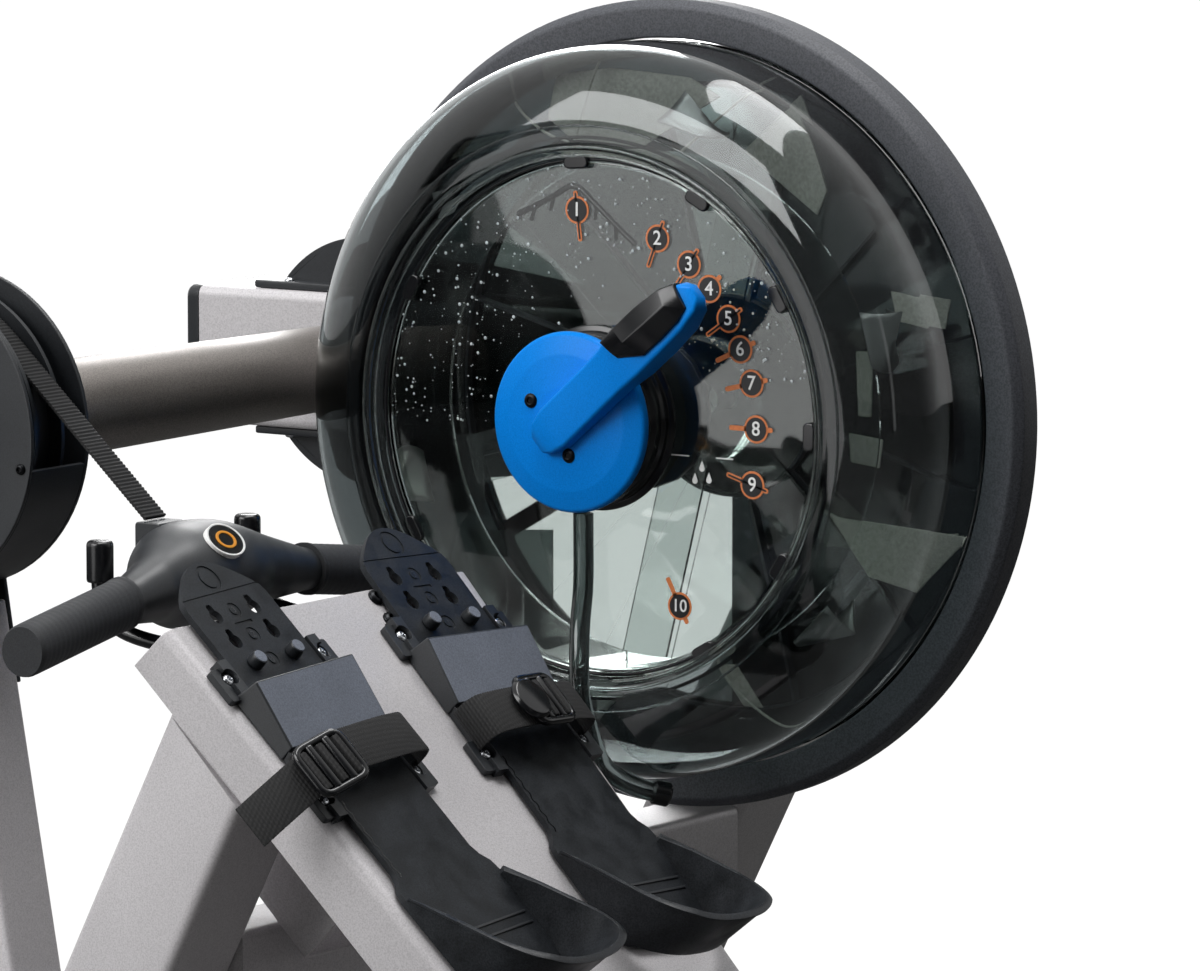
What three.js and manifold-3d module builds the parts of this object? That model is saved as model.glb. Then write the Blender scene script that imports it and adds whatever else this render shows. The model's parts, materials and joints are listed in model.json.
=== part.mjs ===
// Fluid rowing machine with an upright side tank. Millimetres, +Z up, +Y the way the rower faces,
// +X the rower's right. The origin is on the floor, under the middle of the machine's bounding box.
import * as THREE from 'three';
import { mergeVertices } from 'three/addons/utils/BufferGeometryUtils.js';
import Module from 'manifold-3d';

const wasm = await Module();
wasm.setup();

// ---- driving dimensions ----
const rad = THREE.MathUtils.degToRad;
const gap = 0.3; // air left between pieces that touch

const seatLineX = -200; // plane of the rail, the footboard and the pull belt
const lengthHalf = 1075; // machine runs from -1075 to +1075 along Y
const widthHalf = 450;

const tank = { x: 230, y: 558, z: 740, ringR: 300, shellR: 270, frontDepth: 121.5, rearDepth: 80 };
const arm = { size: 108, wall: 4, rearY: 418, frontY: 1060.7 }; // square tube that carries the tank
arm.x = tank.x + 85 + arm.size / 2;
const shaft = { y: 918, z: 740, r: 12 }; // cross shaft from the belt drum to the drive pulley
const drum = { r: 95, halfWidth: 13.5, flangeR: 106 };
const drivePulley = { r: 86, halfWidth: 14 };
const impellerPulley = { r: 30, halfWidth: 14 };

const board = { x: -204, y: 503, z: 572, slope: rad(45.5), top: 100, bottom: -345, sheet: 4, flange: 38 };
board.halfWidth = 171.5; // at the board's own origin; it widens towards the top
board.taper = 0.0843;
const plate = { spread: 102.5, toeOut: rad(3), sliderHalf: 48, railOuter: 60 };
const peg = { x: 23, y: 57, pitch: 22, steps: 2 };
const leftBuckleTilt = rad(25);
const leg = { size: 80, lean: rad(26.7), y: 611, z: 428 }; // y, z: a point on the legs' centre line
const legX = { left: -337, right: 380 };
const stabilizer = { y: 808, low: 20, high: 80 };
const rail = { half: 40, high: 405, low: 335, front: 235, rear: -1060 };
const seatY = -402;
const handle = { y: 674, z: 652, half: 240, gripFrom: 108 };
const hook = { x: 87, barR: 5.5, knobR: 9.5, knobY: 702 };
const leverAngle = rad(49); // from straight up towards the rower
const rearPostY = -980;
const rollerR = 21.7;
const wheel = { x: 380, y: 876, z: 36, r: 32 };

// ---- geometry helpers ----
const xAxis = new THREE.Vector3(1, 0, 0);
const yAxis = new THREE.Vector3(0, 1, 0);
const zAxis = new THREE.Vector3(0, 0, 1);

function solidOf(geometry) {
  const bare = geometry.index ? geometry.toNonIndexed() : geometry.clone();
  bare.deleteAttribute('normal');
  bare.deleteAttribute('uv');
  const merged = mergeVertices(bare, 1e-4);
  const index = merged.index.array;
  const position = merged.attributes.position.array;
  const kept = [];
  for (let i = 0; i < index.length; i += 3) {
    const [a, b, c] = [index[i], index[i + 1], index[i + 2]];
    if (a !== b && b !== c && c !== a) kept.push(a, b, c);
  }
  if (signedVolume(position, kept) < 0) kept.reverse();
  const mesh = new wasm.Mesh({
    numProp: 3,
    vertProperties: new Float32Array(position),
    triVerts: new Uint32Array(kept),
  });
  return new wasm.Manifold(mesh);
}

function signedVolume(position, index) {
  let sum = 0;
  const [a, b, c] = [new THREE.Vector3(), new THREE.Vector3(), new THREE.Vector3()];
  for (let i = 0; i < index.length; i += 3) {
    a.fromArray(position, index[i] * 3);
    b.fromArray(position, index[i + 1] * 3);
    c.fromArray(position, index[i + 2] * 3);
    sum += a.dot(b.cross(c));
  }
  return sum;
}

function geometryOf(solid) {
  const mesh = solid.getMesh();
  const geometry = new THREE.BufferGeometry();
  geometry.setAttribute('position', new THREE.BufferAttribute(mesh.vertProperties, 3));
  geometry.setIndex(new THREE.BufferAttribute(mesh.triVerts, 1));
  return geometry;
}

const join = (...shapes) => geometryOf(shapes.map(solidOf).reduce((sum, next) => sum.add(next)));
const cut = (base, ...tools) =>
  geometryOf(tools.map(solidOf).reduce((left, next) => left.subtract(next), solidOf(base)));
const common = (a, b) => geometryOf(solidOf(a).intersect(solidOf(b)));

// A box given by its low and high corners.
function block(x0, x1, y0, y1, z0, z1) {
  const box = new THREE.BoxGeometry(x1 - x0, y1 - y0, z1 - z0);
  return box.translate((x0 + x1) / 2, (y0 + y1) / 2, (z0 + z1) / 2);
}

function extruded(shape, depth, curveSegments = 5) {
  return new THREE.ExtrudeGeometry(shape, { depth, bevelEnabled: false, curveSegments });
}

// Outline drawn in (y, z), filled from x0 to x1.
function alongX(shape, x0, x1, curveSegments) {
  const turn = new THREE.Matrix4().makeBasis(yAxis, zAxis, xAxis);
  return extruded(shape, x1 - x0, curveSegments).applyMatrix4(turn).translate(x0, 0, 0);
}

// Outline drawn in (x, z), filled from y0 to y1.
function alongY(shape, y0, y1, curveSegments) {
  const turn = new THREE.Matrix4().makeBasis(xAxis, zAxis, yAxis.clone().negate());
  return extruded(shape, y1 - y0, curveSegments).applyMatrix4(turn).translate(0, y1, 0);
}

const alongZ = (shape, z0, z1, curveSegments) =>
  extruded(shape, z1 - z0, curveSegments).translate(0, 0, z0);

// A shape turned about the X axis, from [radius, x] pairs.
function turnedX(profile, segments = 24) {
  const points = profile.map(([radius, x]) => new THREE.Vector2(radius, x));
  return new THREE.LatheGeometry(points, segments).rotateZ(-Math.PI / 2);
}

const closed = (profile) => [...profile, profile[0]];
const discX = (radius, x0, x1, segments) =>
  turnedX([[0, x0], [radius, x0], [radius, x1], [0, x1]], segments);

function outline(points) {
  return new THREE.Shape(points.map(([a, b]) => new THREE.Vector2(a, b)));
}

function roundedRectangle(width, height, radius, shape = new THREE.Shape()) {
  const [w, h] = [width / 2, height / 2];
  shape.moveTo(w, -h + radius);
  shape.absarc(w - radius, h - radius, radius, 0, Math.PI / 2);
  shape.absarc(-w + radius, h - radius, radius, Math.PI / 2, Math.PI);
  shape.absarc(-w + radius, -h + radius, radius, Math.PI, Math.PI * 1.5);
  shape.absarc(w - radius, -h + radius, radius, Math.PI * 1.5, Math.PI * 2);
  return shape;
}

// Section of a square steel tube: outer outline with the bore as a hole.
function tubeSection(width, height, radius, wall) {
  const section = roundedRectangle(width, height, radius);
  const bore = roundedRectangle(width - 2 * wall, height - 2 * wall, Math.max(radius - wall, 1), new THREE.Path());
  section.holes.push(bore);
  return section;
}

function ringPoints(radius, sides) {
  const points = [];
  for (let i = 0; i < sides; i += 1) {
    const turn = (Math.PI * 2 * i) / sides;
    points.push([radius * Math.cos(turn), radius * Math.sin(turn)]);
  }
  return points;
}

function roundBar(points, radius, steps, sides = 8) {
  const section = outline(ringPoints(radius, sides));
  const path = new THREE.CatmullRomCurve3(points.map((p) => new THREE.Vector3(...p)));
  return new THREE.ExtrudeGeometry(section, { steps, extrudePath: path, bevelEnabled: false });
}

// ---- finishes ----
const finish = (color, roughness, metalness = 0) => () =>
  new THREE.MeshStandardMaterial({ color, roughness, metalness });
const powderCoat = finish(0xc3c1c3, 0.55);
const bronzeTube = finish(0x6f6a67, 0.4, 0.5);
const blackPlastic = finish(0x23262b, 0.55);
const rubber = finish(0x1b1c1e, 0.8);
const textured = finish(0x3f4145, 0.8);
const bluePlastic = finish(0x0f74e6, 0.35);
const webbing = finish(0x1a1b1c, 0.9);
const steel = finish(0xb8bcc0, 0.3, 1);
const aluminium = finish(0xb4b7bb, 0.35, 1);
const vinyl = finish(0x202226, 0.6);
function smokedClear() {
  return new THREE.MeshStandardMaterial({ color: 0x6b7578, roughness: 0.1, transparent: true, opacity: 0.35 });
}

const machine = new THREE.Group();
function add(name, geometry, material, parent = machine) {
  const mesh = new THREE.Mesh(geometryOf(solidOf(geometry)), material());
  mesh.name = name;
  parent.add(mesh);
  return mesh;
}
function place(x, y, z, parent = machine) {
  const group = new THREE.Group();
  group.position.set(x, y, z);
  parent.add(group);
  return group;
}

// ---- base: stabilizers, feet, beams and legs ----
function frontStabilizer() {
  const { y, low, high } = stabilizer;
  const bar = cut(
    block(-widthHalf, widthHalf, y - 30, y + 30, low + gap, high),
    block(-widthHalf - 1, widthHalf + 1, y - 27, y + 27, low + gap + 3, high - 3),
  );
  const cheeks = [-wheel.x, wheel.x].flatMap((x) => [-17, 17].map((side) => {
    const plateShape = new THREE.Shape();
    plateShape.moveTo(y + 20, low + 2);
    plateShape.lineTo(wheel.y, low + 2);
    plateShape.absarc(wheel.y, wheel.z, 14, -Math.PI / 2, Math.PI / 2);
    plateShape.lineTo(y + 20, wheel.z + 30);
    return alongX(plateShape, x + side - 3, x + side + 3);
  }));
  const axles = [-wheel.x, wheel.x].map((x) => discX(5, x - 19, x + 19, 12).translate(0, wheel.y, wheel.z));
  return join(bar, ...cheeks, ...axles);
}

function transportWheel() {
  const tread = wheel.r;
  return turnedX(closed([[5.3, -11], [tread - 4, -11], [tread, -8], [tread, 8], [tread - 4, 11], [5.3, 11]]), 20);
}

function rearSupport() {
  const { low, high } = stabilizer;
  const bar = block(-250, 250, -30, 30, low + gap, high);
  const post = block(-30, 30, -30, 30, high - 1, rail.low - gap);
  const barBore = block(-251, 251, -27, 27, low + gap + 3, high - 3);
  const postBore = block(-27, 27, -27, 27, high + 2, rail.low + 1);
  return cut(join(bar, post), barBore, postBore);
}

const foot = () => block(-24, 24, -27, 27, 0, stabilizer.low);

// Sloping beam from under the rail's front end to the front stabilizer, with the saddle under the footboard.
function lowerBeam() {
  const joinY = 190;
  const rearFace = stabilizer.y - 30 - gap;
  const slope = (rail.low - stabilizer.high) / (rearFace - joinY);
  const top = (y) => rail.low - gap - (y - joinY) * slope;
  const depth = 55;
  const side = outline([
    [150, rail.low - gap], [joinY, rail.low - gap], [rearFace, top(rearFace)],
    [rearFace, top(rearFace) - depth], [joinY - 20, rail.low - 66], [150, rail.low - 66],
  ]);
  const under = (y) => board.z - (board.y - y) * Math.tan(board.slope) - (board.sheet + gap) / Math.cos(board.slope);
  const saddle = outline([
    [272, top(272) - 5], [360, top(360) - 5], [360, under(360)], [272, under(272)],
  ]);
  const bore = outline([
    [153, rail.low - 5], [joinY + 1, rail.low - 5], [rearFace + 10, top(rearFace + 10) - 5],
    [rearFace + 10, top(rearFace + 10) - depth + 4], [joinY - 17, rail.low - 61], [153, rail.low - 61],
  ]);
  const beam = cut(alongX(side, -rail.half, rail.half), alongX(bore, -rail.half + 3, rail.half - 3));
  const upright = cut(alongX(saddle, -34, 34), block(-31, 31, 275, 357, 200, 600));
  return join(beam, upright);
}

function leaningLeg(...topPlanes) {
  const { size, lean } = leg;
  const long = alongZ(tubeSection(size, size, 8, 4), -420, 420, 1);
  long.rotateX(lean).translate(0, leg.y, leg.z);
  const floorCut = block(-200, 200, 300, 1300, -400, stabilizer.high + gap);
  return cut(long, floorCut, ...topPlanes);
}

// ---- footboard and what is bolted to it; local x right, y up the slope, z out of the board ----
// Widens a board-shaped solid towards its top, and deepens its flanges towards the bottom.
function boardTaper(geometry) {
  const position = geometry.attributes.position;
  for (let i = 0; i < position.count; i += 1) {
    const [x, y, z] = [position.getX(i), position.getY(i), position.getZ(i)];
    position.setX(i, x + Math.sign(x) * board.taper * y);
    if (z < -20) position.setZ(i, z - 0.03 * Math.max(board.top - y, 0));
  }
  return geometry;
}

function footboardPlate() {
  const { halfWidth: w, sheet: t, flange: f, bottom, top } = board;
  const bend = 9;
  const section = new THREE.Shape();
  section.moveTo(-w, -f);
  section.lineTo(-w, -bend);
  section.absarc(-w + bend, -bend, bend, Math.PI, Math.PI / 2, true);
  section.absarc(w - bend, -bend, bend, Math.PI / 2, 0, true);
  section.lineTo(w, -f);
  section.lineTo(w - t, -f);
  section.absarc(w - bend, -bend, bend - t, 0, Math.PI / 2);
  section.absarc(-w + bend, -bend, bend - t, Math.PI / 2, Math.PI);
  section.lineTo(-w + t, -f);
  return boardTaper(alongY(section, bottom, top, 2));
}

function spineBeam() {
  const deep = 150;
  const section = tubeSection(120, deep, 6, 3);
  return alongY(section, -90, 50, 1).translate(0, 0, -board.sheet - gap - deep / 2);
}

function handleRest() {
  const under = -board.sheet - gap;
  const mountPlate = block(-hook.x - 6, hook.x + 6, 62, 92, under - 5, under);
  const cradle = (x) => {
    const toLocal = ([y, z]) => {
      const [dy, dz] = [y - board.y, z - board.z];
      const [c, s] = [Math.cos(board.slope), Math.sin(board.slope)];
      return [x, dy * c + dz * s, -dy * s + dz * c];
    };
    const route = [[548, 603], [575, 612], [610, 616], [655, 616.5], [690, 626], [702, 648], [702, 672]];
    const sleeve = [[hook.knobY, 656], [hook.knobY, 684]];
    return join(roundBar(route.map(toLocal), hook.barR, 9, 8), roundBar(sleeve.map(toLocal), hook.knobR, 1, 12));
  };
  return join(mountPlate, cradle(-hook.x), cradle(hook.x));
}

function footplateBase() {
  const { sliderHalf, railOuter } = plate;
  const inner = sliderHalf + 1.3;
  const floor = block(-inner - 1, inner + 1, -70, 70, gap, 2);
  const rails = [-1, 1].map((side) => {
    const [a, b] = [side * inner, side * railOuter].sort((p, q) => p - q);
    return block(a, b, -72, 66, gap, 9);
  });
  const lugs = [-1, 1].flatMap((side) => [[34, 62], [-70, -43]].map(([y0, y1]) => {
    const [a, b] = [side * (railOuter - 4), side * 70].sort((p, q) => p - q);
    return block(a, b, y0, y1, gap, 5);
  }));
  const boxSide = outline([[35, 1], [35, 22.5], [-14, 12], [-14, 1]]);
  const boxBore = outline([[36, 2], [36, 19.3], [-15, 8.8], [-15, 2]]);
  const toeBox = cut(alongX(boxSide, -railOuter, railOuter), alongX(boxBore, -inner, inner));
  const pegs = [-peg.x, peg.x].map((x) => {
    const turned = turnedX([[0, 1], [2.6, 1], [2.6, 7.8], [6.6, 7.8], [5.6, 18.5], [0, 18.5]], 14);
    return turned.rotateY(-Math.PI / 2).translate(x, peg.y, 0);
  });
  return join(floor, ...rails, ...lugs, toeBox, ...pegs);
}

function heelSlider() {
  const { sliderHalf: w } = plate;
  const [low, high] = [2.4, 7];
  const pad = new THREE.Shape();
  pad.moveTo(-w, -140);
  pad.lineTo(-w, 108);
  pad.absarc(-w + 36, 108, 36, Math.PI, Math.PI / 2, true);
  pad.absarc(w - 36, 108, 36, Math.PI / 2, 0, true);
  pad.lineTo(w, -140);
  for (const x of [-peg.x, peg.x]) {
    const slot = new THREE.Path();
    const [y0, y1] = [peg.y, peg.y + peg.pitch * peg.steps];
    slot.absarc(x, y1, 3.4, 0, Math.PI);
    slot.absarc(x, y0, 3.4, Math.PI, Math.PI * 2);
    pad.holes.push(slot);
  }
  const cup = (inset) => {
    const half = 59 - inset;
    const far = -249 + inset;
    const shape = new THREE.Shape();
    shape.moveTo(-half, -146 - inset);
    shape.lineTo(-half + 1, -200);
    shape.bezierCurveTo(-half + 2, far + 12, -half + 20, far, 0, far);
    shape.bezierCurveTo(half - 20, far, half - 2, far + 12, half - 1, -200);
    shape.lineTo(half, -146 - inset);
    return shape;
  };
  // The walls lean outwards as they rise.
  const flared = (geometry) => {
    const position = geometry.attributes.position;
    for (let i = 0; i < position.count; i += 1) {
      const rise = Math.max(position.getZ(i) - high, 0);
      position.setX(i, position.getX(i) * (1 + 0.0011 * rise));
      position.setY(i, position.getY(i) - 0.1 * rise * Math.max((-150 - position.getY(i)) / 100, 0));
    }
    return geometry;
  };
  const shoulders = outline([[-w, -124], [-w - 8, -138], [-62, -147], [62, -147], [w + 8, -138], [w, -124]]);
  const walls = cut(flared(alongZ(cup(0), low, 72, 7)), flared(alongZ(cup(4), high, 80, 7)));
  const sideProfile = outline([
    [-140, 1], [-140, 8], [-238, 62], [-252, 65], [-275, 63], [-275, 24], [-244, 15], [-232, 9], [-228, 1],
  ]);
  const trimmed = common(walls, alongX(sideProfile, -90, 90));
  return join(alongZ(pad, low, high, 3), alongZ(shoulders, low, high), trimmed);
}

// Webbing over the toe box: a band of even thickness, and on the left its loose end.
function toeStrap(withTail) {
  const edge = plate.railOuter + 0.5;
  const thick = 2;
  const low = 5.6;
  const band = outline([
    [-edge - thick, low], [-edge - thick, 19], [-edge + 8, 27.5], [-20, 29], [20, 29], [edge - 8, 27.5],
    [edge + thick, 19], [edge + thick, low], [edge, low], [edge, 18], [edge - 9, 25.5], [20, 27], [-20, 27],
    [-edge + 9, 25.5], [-edge, 18], [-edge, low],
  ]);
  const [rear, front] = [-52, -18.5];
  if (!withTail) return alongY(band, rear, front);
  const tail = outline([
    [-50, 28], [-66, 23.5], [-80, 11], [-102, -4], [-116, -17], [-118, -16], [-104, -2], [-81, 14], [-66, 26], [-50, 29],
  ]);
  const drift = new THREE.Matrix4().set(1, 0, 0, 0, 0.2, 1, 0, 10, 0, 0, 1, 0, 0, 0, 0, 1);
  return join(alongY(band, rear, front), alongY(tail, rear, front).applyMatrix4(drift));
}

function buckle() {
  const frame = alongZ(roundedRectangle(44, 42, 6), 0, 6, 1);
  const slots = [-10.5, 0, 10.5].map((x) => block(x - 3.2, x + 3.2, -15, 15, -4, 10));
  return cut(frame, ...slots);
}

// ---- drive line ----
function driveHousing(withRim) {
  const cheek = new THREE.Shape();
  cheek.absarc(shaft.y, shaft.z, 116, -Math.PI / 2 + 0.25, Math.PI * 1.5 - 0.35);
  cheek.lineTo(shaft.y - 52, 556);
  cheek.lineTo(shaft.y + 10, 556);
  const bore = new THREE.Path();
  bore.absarc(shaft.y, shaft.z, shaft.r + 0.5, 0, Math.PI * 2);
  cheek.holes.push(bore);
  if (!withRim) return alongX(cheek, 30.3, 34.3, 14);
  const rim = new THREE.Shape();
  const [from, to] = [rad(-170), rad(80)];
  rim.absarc(shaft.y, shaft.z, 116, from, to);
  rim.absarc(shaft.y, shaft.z, 112, to, from, true);
  const post = block(-14, 14, 948, 962, 848, 935);
  const knuckle = discX(8, -14, 14, 16).translate(0, 955, 938);
  return join(alongX(cheek, -34.3, -30.3, 14), alongX(rim, -31, 29.7, 14), post, knuckle);
}

function frontUpright() {
  const lean = Math.atan2(97, 540);
  const tube = alongZ(tubeSection(60, 60, 6, 3), -80, 620, 1).rotateX(-lean).translate(0, stabilizer.y, stabilizer.high);
  const under = block(-100, 100, 600, 1200, -200, stabilizer.high + gap);
  const over = block(-100, 100, 600, 1200, 616, 900);
  return cut(tube, under, over);
}

function crossShaftTube() {
  const [x0, x1] = [seatLineX + 34.6, tank.x + 85 - gap];
  const [r0, r1] = [37.2, 32.4];
  return turnedX(closed([[r0 - 4, x0], [r0, x0], [r1, x1], [r1 - 4, x1]]), 24);
}

function driveShaft() {
  return discX(shaft.r, seatLineX - 38, arm.x + arm.size / 2 + 3, 20);
}

function beltDrum() {
  const { r, halfWidth: w, flangeR } = drum;
  const bore = shaft.r + 0.4;
  return turnedX(closed([
    [bore, -w - 4], [flangeR, -w - 4], [flangeR, -w], [r, -w], [r, w], [flangeR, w], [flangeR, w + 4], [bore, w + 4],
  ]), 28);
}

function grooved({ r, halfWidth: w }, bore, segments) {
  return turnedX(closed([[bore, -w], [r + 5, -w], [r, -w + 3], [r, w - 3], [r + 5, w], [bore, w]]), segments);
}

// Pull belt: wrapped over the drum, then straight down to the handle's clip.
function pullBelt() {
  const [inner, outer] = [drum.r + 0.4, drum.r + 3.4];
  const anchor = [handle.y + 44, handle.z + 39];
  const [dy, dz] = [shaft.y - anchor[0], shaft.z - anchor[1]];
  const away = Math.hypot(dy, dz);
  const angle = Math.atan2(dz, dy) + Math.asin(outer / away);
  const top = angle + Math.PI / 2;
  const band = new THREE.Shape();
  band.moveTo(anchor[0], anchor[1]);
  band.absarc(shaft.y, shaft.z, outer, top, rad(-60), true);
  band.absarc(shaft.y, shaft.z, inner, rad(-60), top);
  band.lineTo(anchor[0] + 3 * Math.sin(angle), anchor[1] - 3 * Math.cos(angle));
  return alongX(band, -12, 12, 10);
}

// Timing belt inside the arm, an open loop round both pulleys.
function driveBelt() {
  const loop = (extra) => {
    const [big, small] = [drivePulley.r + extra, impellerPulley.r + extra];
    const spread = Math.asin((big - small) / (shaft.y - tank.y));
    const path = new THREE.Shape();
    path.absarc(shaft.y, shaft.z, big, -Math.PI / 2 - spread, Math.PI / 2 + spread);
    path.absarc(tank.y, tank.z, small, Math.PI / 2 + spread, Math.PI * 1.5 - spread);
    return path;
  };
  return cut(alongX(loop(3.4), -10, 10, 10), alongX(loop(0.4), -11, 11, 10));
}

function tankArm() {
  const tube = alongY(tubeSection(arm.size, arm.size, 7, arm.wall), arm.rearY, arm.frontY, 1);
  const slot = block(-19, 19, shaft.y - 262, shaft.y + 84, -80, 80);
  const shaftHole = discX(shaft.r + 0.6, -80, 80, 20).translate(0, shaft.y, 0);
  const tankHole = discX(11, -80, 0, 20).translate(0, tank.y, 0);
  return cut(tube, slot, shaftHole, tankHole);
}

function armEndCap() {
  const half = arm.size / 2;
  const layers = [[0, 9, 0], [9, 11.8, 1.6], [11.8, 13.4, 5]].map(([from, to, inset]) =>
    alongY(roundedRectangle(arm.size - inset * 2, arm.size - inset * 2, 7), from, to, 1));
  return join(...layers, block(-half + 9, half - 9, 13, 14, -half + 9, half - 9));
}

// Guard over the part of the drive pulley that stands out of the arm; drawn above the shaft's axis.
function pulleyGuard() {
  const half = arm.size / 2 + gap;
  const cover = (r, lift, end) => {
    const shape = new THREE.Shape();
    shape.moveTo(Math.sqrt(r * r - half * half), half - 1);
    shape.absarc(0, 0, r, Math.asin(half / r), rad(104));
    shape.lineTo(end, half + lift);
    shape.lineTo(end, half - 1);
    return shape;
  };
  const body = alongX(cover(97, 10, -264), -30, 30, 9);
  const flange = block(-45, 45, -274, 95, half, half + 6);
  const hollow = alongX(cover(93, 5.5, -258), -22, 22, 9);
  const belowTop = block(-60, 60, -300, 200, half - 20, half);
  const mouth = block(-22, 22, -258, 74, half - 10, half + 6.4);
  return cut(join(body, flange), hollow, belowTop, mouth);
}

// ---- tank; local origin on the tank's axis in the plane of the clamp ring ----
function clampRing() {
  return turnedX(closed([[271.4, -12], [293, -12], [298, -9], [300, -3], [300, 12], [296, 17], [271.4, 17]]), 48);
}

function frontShell() {
  const outer = [[266, 1], [270, -20], [270.5, -80], [265, -100], [253, -114], [232, -121.5], [203, -121.5], [190.5, -108]];
  const inner = [[190.5, -104.5], [204, -118], [231, -118], [251, -111], [262, -98.5], [267, -80], [266.5, -20], [262.5, 1]];
  return turnedX(closed([...outer, ...inner]), 40);
}

function rearShell() {
  const outer = [[269, 1.4], [269, 45], [258, 69], [230, tank.rearDepth], [70, tank.rearDepth], [70, 84.6], [10.5, 84.6]];
  const inner = [[10.5, 77], [229, 77], [255.5, 66.5], [265.5, 44], [265.5, 1.4]];
  return turnedX(closed([...outer, ...inner]), 40);
}

function storageChamber() {
  const r = 189.5;
  return turnedX(closed([[22, -106], [r, -106], [r, -22], [r - 3, -22], [r - 3, -103], [22, -103]]), 40);
}

function adjusterSocket() {
  return turnedX(closed([[12, -106.4], [76, -106.4], [76, -120], [71, -133], [58, -137], [12, -137]]), 24);
}

// Channel that links the hub with the bottom of the tank, over the front of the clear shell.
function transferPipe() {
  const route = [[-113.9, 8, -80], [-113.9, 8, -120], [-118, 8, -150], [-127, 3, -176], [-133, -2, -203], [-133, -10, -229],
    [-129, -17, -250], [-118, -24, -262], [-106, -36, -270], [-94, -47, -274.5]];
  return roundBar(route, 7.5, 22, 8);
}

function impellerWheel() {
  const spokes = [];
  for (let i = 0; i < 6; i += 1) {
    const turn = rad(60 * i + 14);
    spokes.push(block(30, 35, -19, 19, 30, 212).rotateX(turn));
    spokes.push(block(-66, 50, -1.6, 1.6, -25, 25).rotateX(rad(24)).translate(0, 0, 229).rotateX(turn));
  }
  const hub = discX(48, 24, 44, 20);
  const axle = discX(10, 14, arm.x - tank.x + 18, 20);
  return join(hub, axle, ...spokes);
}

function adjusterHub() {
  return turnedX([[0, -137.5], [64, -137.5], [66, -141], [64, -146.5], [56, -150.5], [30, -153], [0, -153.5]], 24);
}

// Lever seen from the side, long way along local z, then cut to a taper in plan.
function adjusterLever() {
  const side = outline([[-26, -154], [-26, -160], [-20, -163.5], [66, -167], [88, -170], [152, -166], [156, -160], [150, -151],
    [92, -148], [70, -154]]);
  const turn = new THREE.Matrix4().makeBasis(zAxis, xAxis, yAxis);
  const body = extruded(side, 44).applyMatrix4(turn).translate(0, -22, 0);
  const plan = new THREE.Shape();
  plan.moveTo(-17, 0);
  plan.absarc(0, -9, 17, Math.PI, Math.PI * 2);
  plan.lineTo(17, 60);
  plan.lineTo(20, 88);
  plan.lineTo(17, 140);
  plan.lineTo(8, 156);
  plan.lineTo(-8, 156);
  plan.lineTo(-17, 140);
  plan.lineTo(-20, 88);
  plan.lineTo(-17, 60);
  return common(body, alongX(plan, -190, -140, 8));
}

function leverGrip() {
  const top = outline([[-14, 84], [-14, 138], [-8, 144], [8, 144], [14, 138], [16, 90], [4, 78], [-8, 78]]);
  const side = outline([[76, -170.7], [92, -178], [132, -176], [146, -168], [146, -167.4], [88, -170.7]]);
  const turn = new THREE.Matrix4().makeBasis(zAxis, xAxis, yAxis);
  return common(alongX(top, -190, -160), extruded(side, 60).applyMatrix4(turn).translate(0, -30, 0));
}

function adjusterValve() {
  return turnedX([[0, -137.2], [9, -137.2], [9, -48], [58, -48], [58, -42], [0, -42]], 18);
}

// ---- handle; local origin at its middle ----
function bendHandle(geometry) {
  const position = geometry.attributes.position;
  for (let i = 0; i < position.count; i += 1) {
    const x = position.getX(i);
    const out = Math.max(Math.abs(x) - 50, 0);
    const bulge = Math.max(1 - Math.abs(x) / 70, 0);
    position.setY(i, position.getY(i) * (1 + 0.2 * bulge) + 16 * bulge - 0.12 * out);
    position.setZ(i, position.getZ(i) - 0.12 * out);
  }
  return geometry;
}

function handleCore() {
  const halfProfile = [
    [37.6, 8], [37, 20], [33.5, 35], [28, 50], [23.5, 66], [20.5, 80], [18, 95], [16, 104], [15, 107], [15, 236],
  ];
  const mirrored = halfProfile.map(([r, x]) => [r, -x]).reverse();
  const bar = bendHandle(turnedX([[0, -238], ...mirrored, ...halfProfile, [0, 238]], 18));
  const clip = block(-15, 15, 30, 52, 10, 36);
  return join(bar, clip);
}

function handleGrip(side) {
  const [from, to] = [handle.gripFrom, handle.half + 2];
  const profile = [[15.4, from], [18, from], [18.4, from + 30], [18.4, to - 40], [18, to - 4], [15.4, to]];
  return bendHandle(turnedX(closed(profile.map(([r, x]) => [r, side * x])), 18));
}

// ---- seat; local origin on the rail's top face at the seat's middle ----
function seatCarriage() {
  const top = block(-90, 90, -105, 105, 45.3, 51.3);
  const sides = [-1, 1].map((side) => {
    const [a, b] = [side * 42, side * 47].sort((p, q) => p - q);
    return block(a, b, -78, 78, -83, 46);
  });
  const lips = [-1, 1].map((side) => {
    const [a, b] = [side * 31, side * 43].sort((p, q) => p - q);
    return block(a, b, -78, 78, -83, -76);
  });
  const holes = [-60, 60].map((y) => discX(6.5, -60, 60, 16).translate(0, y, 22));
  return cut(join(top, ...sides, ...lips), ...holes);
}

function rollerPair() {
  const axle = 6;
  const half = [[axle, 14], [rollerR, 14], [rollerR, 34], [axle, 34], [axle, 46.5], [0, 46.5]];
  const mirrored = half.map(([r, x]) => [r, -x]).reverse();
  return turnedX([...mirrored, ...half], 18);
}

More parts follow.
